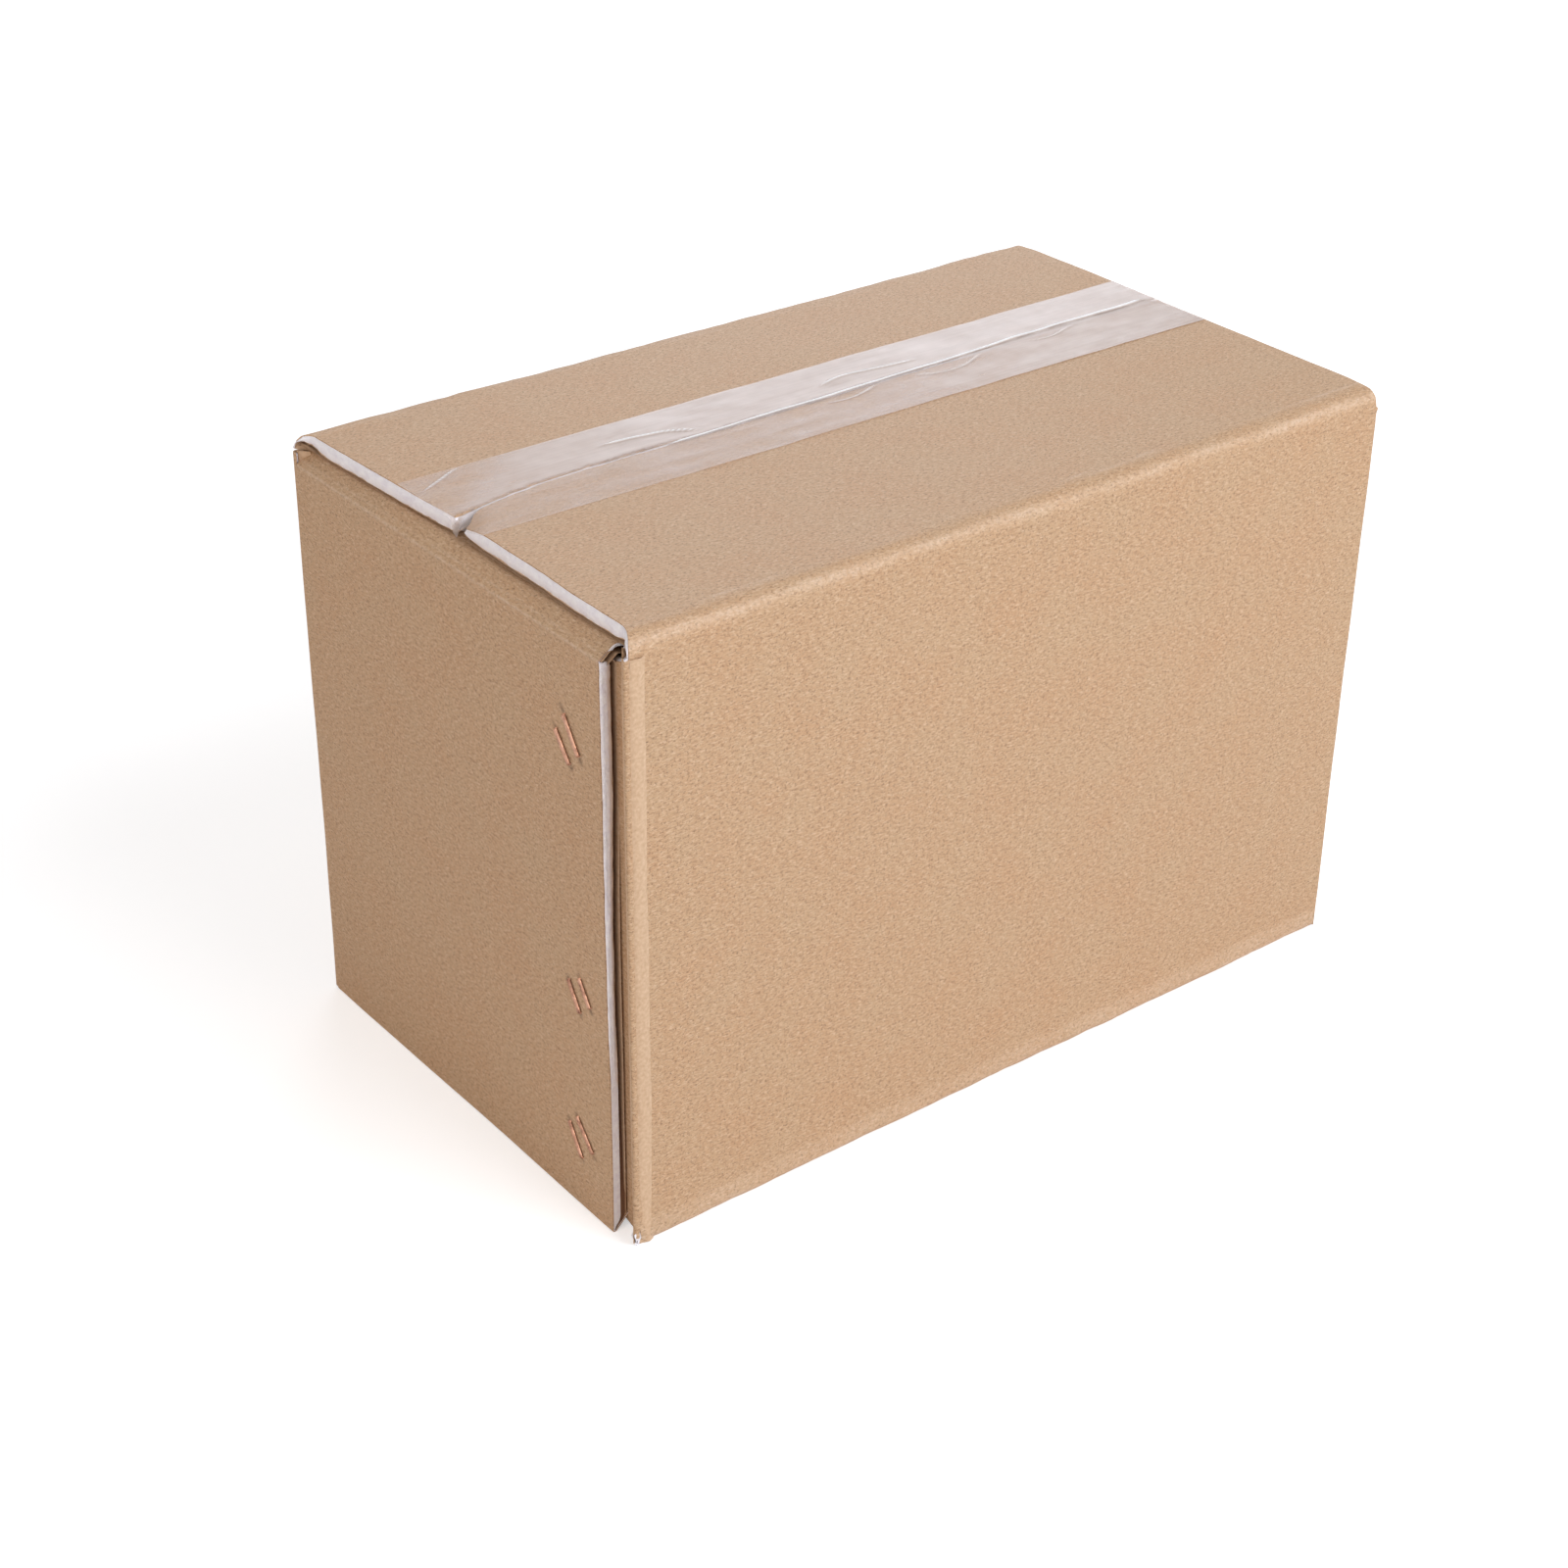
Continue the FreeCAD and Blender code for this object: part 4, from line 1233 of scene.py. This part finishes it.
# How milky the film is, with painted sheen rising along the strip and behind the seam, and a painted
# highlight on crests.
def hazeAndSheenAt(x, y, crestHighlight):
    front, back = seamEdges(x)
    behind = smooth(back - 1, back + 1.5, y)
    milkyAndSheen = filmHazeAndSheen["least"] + sum(ramp(x, 0, form) for form in filmHazeAndSheen["front"])
    milkyAndSheen += behind * (filmHazeAndSheen["behind"] + sum(ramp(x, 0, form) for form in filmHazeAndSheen["back"]))
    milkyAndSheen -= (1 - behind) * ramp(y, front, filmHazeAndSheen["clearBand"]) * ramp(x, 0, filmHazeAndSheen["clearBandFrom"])
    pastLine = (Vector((x, y)) - filmHazeAndSheen["clearPlace"]).dot(filmHazeAndSheen["clearWay"])
    milkyAndSheen -= behind * ramp(pastLine, 0, filmHazeAndSheen["clearEnd"])
    milkyAndSheen += waved(x * 0.6, y * 1.6, filmHazeAndSheen["clouds"]) + waved(x, y, filmHazeAndSheen["specks"])
    return min(max(milkyAndSheen, filmHazeAndSheen["least"]) + filmHazeAndSheen["crestHighlight"] * crestHighlight, filmHazeAndSheen["most"])


# How dark the film is drawn over the seam: the back flap's torn edge, painted shade in the open mouth, and a
# painted shadow in front of the pleat.
def seamAndShadeAt(x, y):
    front, back = seamEdges(x)
    dashes = ramp(wander(x, y, 1.5, 0.7), 0, seamAndShade["dashes"]) * ridge(y, back, seamAndShade["dashBand"])
    dashes *= ramp(x, 0, seamAndShade["dashFrom"]) * ramp(x, 0, seamAndShade["dashTo"])
    shown = max(dashes, seamAndShade["mouthShade"] * mouthAt(x, y))
    crest = crestAt(topTape["seamPleat"], x)
    if crest is not None:
        dark = ridge(y, crest + waved(x, 0, seamAndShade["shadowWaves"]), seamAndShade["shadow"])
        shown = max(shown, dark * smooth(*seamAndShade["shadowBreaks"], wander(x, 0, 7, 8.0)))
    return min(shown, seamAndShade["most"])


def topTapePlace(x, y):
    # Height of the film over the flaps, its milkiness with painted sheen, the seam's torn edge with painted
    # shade, and the painted highlight along crests.
    front, back = seamEdges(x)
    height, crestHighlight = pleatsAt(x, y)
    lift = flapSkin(x, y, 1) + height
    lift -= ramp(x, 0, topTape["sag"]) * bell(y, (front + back) / 2, (back - front) * 0.9)
    lift -= mouthAt(x, y) * (topTape["sunk"] + ramp(x, -halfLength, topTape["sunkMore"]))
    lift += ramp(x, 0, topTape["rag"]) * bell(y, back, 1.2) * wander(x, y, 1.6, 6.0)
    lift += ramp(x, 0, topTape["slack"]) * (0.8 + waved(x, y * 2.2, topTape["slackWaves"]))
    return lift, hazeAndSheenAt(x, y, crestHighlight), seamAndShadeAt(x, y), crestHighlight


def stripOfTape(name, low, high, along, across, side, shaped):
    # A strip as a grid over the box it gets, shaped by place and closed by its own thickness.
    mesh = bmesh.new()
    columns = max(1, round((high.x - low.x) / mm / along))
    rows = max(1, round((high.y - low.y) / mm / across))
    bmesh.ops.create_grid(mesh, x_segments=columns, y_segments=rows, size=0.5)
    floats = mesh.verts.layers.float
    # per vertex: milkiness with painted sheen, the seam's edge with painted shade, and the crests' painted
    # highlight
    hazeAndSheenLayer, seamAndShadeLayer, crestHighlightLayer = floats.new("hazeAndSheen"), floats.new("seam"), floats.new("crest")
    for vert in mesh.verts:
        vert.co.x = low.x + (vert.co.x + 0.5) * (high.x - low.x)
        vert.co.y = low.y + (vert.co.y + 0.5) * (high.y - low.y)
        lift, vert[hazeAndSheenLayer], vert[seamAndShadeLayer], vert[crestHighlightLayer] = shaped(vert.co.x / mm, vert.co.y / mm)
        vert.co.z = (carton["middle"] + side * (carton["skin"] + topTape["lift"] + lift)) * mm
    grown = bmesh.ops.extrude_face_region(mesh, geom=list(mesh.faces), use_keep_orig=True)["geom"]
    bmesh.ops.translate(mesh, verts=newVerts(grown), vec=(0, 0, side * topTape["thickness"] * mm))
    bmesh.ops.recalc_face_normals(mesh, faces=mesh.faces)
    for face in mesh.faces:
        face.smooth = True
    for edge in mesh.edges:
        edge.smooth = edge.is_manifold and edge.calc_face_angle(0) < topTape["sharpEdge"]
    strip = pieceFrom(mesh, name, tapeFilm)
    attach(strip, "root")
    return strip


flapsEnd = (halfLength - carton["farFlapInset"] - 0.3) * mm        # the film runs on to the flaps' far sides
upperTape = stripOfTape("top_tape", topTapeLow, Vector((flapsEnd, topTapeHigh.y, topTapeHigh.z)),
                        topTape["along"], topTape["across"], 1, topTapePlace)
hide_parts("top_sealing_tape")

bottomTape = {"along": 4.0, "across": 2.0, "hazeAndSheen": 0.35, "hazeWaves": (0.2, 15, 1.0)}


def bottomTapePlace(x, y):
    return flapSkin(x, y, -1), bottomTape["hazeAndSheen"] + waved(x, y * 2, bottomTape["hazeWaves"]), 0, 0


lowerTape = stripOfTape("bottom_tape", bottomTapeLow, bottomTapeHigh,
                        bottomTape["along"], bottomTape["across"], -1, bottomTapePlace)
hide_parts("bottom_sealing_tape")


# Wire stitches: each a flat wire run through both walls, its ends folded over behind the tab.
def wireLine(crown):
    # Middle line of a stitch as runs, from one clinched end to the other.
    bend = arc(stitches["bend"], -90)
    half = crown / 2 - stitches["wireThickness"] / 2 - stitches["bend"]
    clinch = (half - stitches["clinchGap"] / 2, 0)
    leg = (stitches["clinchDepth"] + stitches["crownOut"] - 2 * stitches["bend"], 0)
    return [clinch, bend, leg, bend, (2 * half, 0), bend, leg, bend, clinch]


def wireStops(runs):
    # Distances along the line where a ring of the wire stands, close together in the bends.
    stops = [0.0]
    for length, degrees in runs:
        count = stitches["bendRings"] if degrees else max(1, round(length / stitches["ringSpacing"]))
        for index in range(count):
            stops.append(stops[-1] + length / count)
    return stops


stitchMesh = bmesh.new()
around = stitchMesh.verts.layers.int.new("around")
for y, z, tilt, crown in stitches["places"]:
    runs = wireLine(crown)
    ring = bmesh.ops.create_circle(stitchMesh, cap_ends=True, segments=stitches["sides"], radius=1)["verts"]
    for index, vert in enumerate(ring):
        vert[around] = index
    cap = ring[0].link_faces[0]
    wire = list(ring)
    for number, stop in enumerate(wireStops(runs)):
        if number:
            grown = bmesh.ops.extrude_face_region(stitchMesh, geom=[cap], use_keep_orig=number == 1)["geom"]
            ring = newVerts(grown)
            cap = next(part for part in grown if isinstance(part, bmesh.types.BMFace))
            wire += ring
        forward, left, turned = follow(runs, stop)           # here X runs into the box, Z along the crown
        for vert in ring:
            turn = 2 * math.pi * vert[around] / stitches["sides"]
            off = stitches["wireThickness"] / 2 * math.sin(turn)
            vert.co = Vector((stitches["clinchDepth"] + left + off * math.cos(turned),
                              stitches["wireWidth"] / 2 * math.cos(turn),
                              stitches["clinchGap"] / 2 + forward - off * math.sin(turned)))
    spin = Matrix.Rotation(math.radians(-tilt), 4, "X")
    shift = Matrix.Translation(Vector((-halfLength, y, z)))
    bmesh.ops.transform(stitchMesh, matrix=Matrix.Scale(mm, 4) @ shift @ spin, verts=wire)
bmesh.ops.recalc_face_normals(stitchMesh, faces=stitchMesh.faces)
for face in stitchMesh.faces:
    face.smooth = len(face.verts) == 4
stitchPiece = pieceFrom(stitchMesh, "stitches", copperWire)
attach(stitchPiece, "root")
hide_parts("wire_stitches")


# Studio: pale floor, white surroundings, one soft key from the front and a soft light behind.
def studioMaterial(name, colour, glow):
    material = newMaterial(name)
    seen = addNode(material, "ShaderNodeLightPath").outputs["Is Camera Ray"]
    glowing = addNode(material, "ShaderNodeMath", {"operation": "MULTIPLY", 1: glow}, {0: seen})
    shine = addNode(material, "ShaderNodeEmission", {"Color": (1, 1, 1, 1)},
                    {"Strength": glowing.outputs[0]})
    matt = addNode(material, "ShaderNodeBsdfDiffuse", {"Color": linear(colour)})
    both = addNode(material, "ShaderNodeAddShader", links={0: matt.outputs[0], 1: shine.outputs[0]})
    return finishMaterial(material, both)


studio = {
    "floorSize": 6.0, "floorColour": "#F0F0F0", "floorGlow": 0.5, "ambient": 0.34,
    "keyFrom": (0.55, -1.45, 1.25), "keySize": 1.3, "keyPower": 28.4, "keyColour": "#F4F8FF",
    "backFrom": (0.95, 1.3, 0.75), "backSize": 0.8, "backPower": 6.2, "backColour": "#F2F5FF",
    "sideFrom": (-1.75, -0.55, 0.85), "sideSize": 1.2, "sidePower": 10.0, "sideColour": "#FFF2EA",
}
floorMesh = bmesh.new()
bmesh.ops.create_grid(floorMesh, x_segments=1, y_segments=1, size=studio["floorSize"] / 2)
paleFloor = studioMaterial("paleFloor", studio["floorColour"], studio["floorGlow"])
floor = pieceFrom(floorMesh, "floor", paleFloor)

world = bpy.data.worlds.new("whiteStudio")
bpy.context.scene.world = world
world.use_nodes = True
world.node_tree.nodes.clear()
rays = addNode(world, "ShaderNodeLightPath")
shown = addNode(world, "ShaderNodeMath", {"operation": "MAXIMUM"},
                {0: rays.outputs["Is Camera Ray"], 1: rays.outputs["Is Glossy Ray"]})
shownThrough = addNode(world, "ShaderNodeMath", {"operation": "MAXIMUM"},
                       {0: shown.outputs[0], 1: rays.outputs["Is Transmission Ray"]})
strength = addNode(world, "ShaderNodeMapRange", {"To Min": studio["ambient"], "To Max": 1.0},
                   {"Value": shownThrough.outputs[0]})
sky = addNode(world, "ShaderNodeBackground", {"Color": (1, 1, 1, 1)}, {"Strength": strength.outputs[0]})
addNode(world, "ShaderNodeOutputWorld", links={"Surface": sky.outputs[0]})

boxCentre = Vector((0, 0, (cadLow.z + cadHigh.z) / 2))
for name in ("key", "back", "side"):
    lamp = bpy.data.lights.new(name + "Softbox", "AREA")
    lamp.shape = "SQUARE"
    lamp.size = studio[name + "Size"]
    lamp.energy = studio[name + "Power"]
    lamp.color = linear(studio[name + "Colour"])[:3]
    light = bpy.data.objects.new(name + "Softbox", lamp)
    light.location = Vector(studio[name + "From"])
    light.rotation_mode = "QUATERNION"
    light.rotation_quaternion = (boxCentre - light.location).to_track_quat("-Z", "Y")
    bpy.context.scene.collection.objects.link(light)

view = {
    "azimuth": -38.16, "elevation": 30.06, "roll": 0.66, "lens": 65.36, "sensorWidth": 36,
    "aside": -0.01869, "above": -0.02841, "away": 0.93678,
}
azimuth = math.radians(view["azimuth"])
elevation = math.radians(view["elevation"])
roll = math.radians(view["roll"])
backwards = Vector((math.sin(azimuth) * math.cos(elevation),
                    -math.cos(azimuth) * math.cos(elevation),
                    math.sin(elevation)))
level = Vector((0, 0, 1)).cross(backwards).normalized()
upright = backwards.cross(level)
rightward = level * math.cos(roll) + upright * math.sin(roll)
upward = upright * math.cos(roll) - level * math.sin(roll)
lens = bpy.data.cameras.new("camera")
lens.lens = view["lens"]
lens.sensor_width = view["sensorWidth"]
camera = bpy.data.objects.new("camera", lens)
camera.location = boxCentre + rightward * view["aside"] + upward * view["above"] + backwards * view["away"]
camera.rotation_euler = Matrix((rightward, upward, backwards)).transposed().to_euler()
bpy.context.scene.collection.objects.link(camera)
bpy.context.scene.camera = camera
bpy.context.scene.view_settings.view_transform = "Standard"
print("studio set")

bpy.context.view_layer.update()
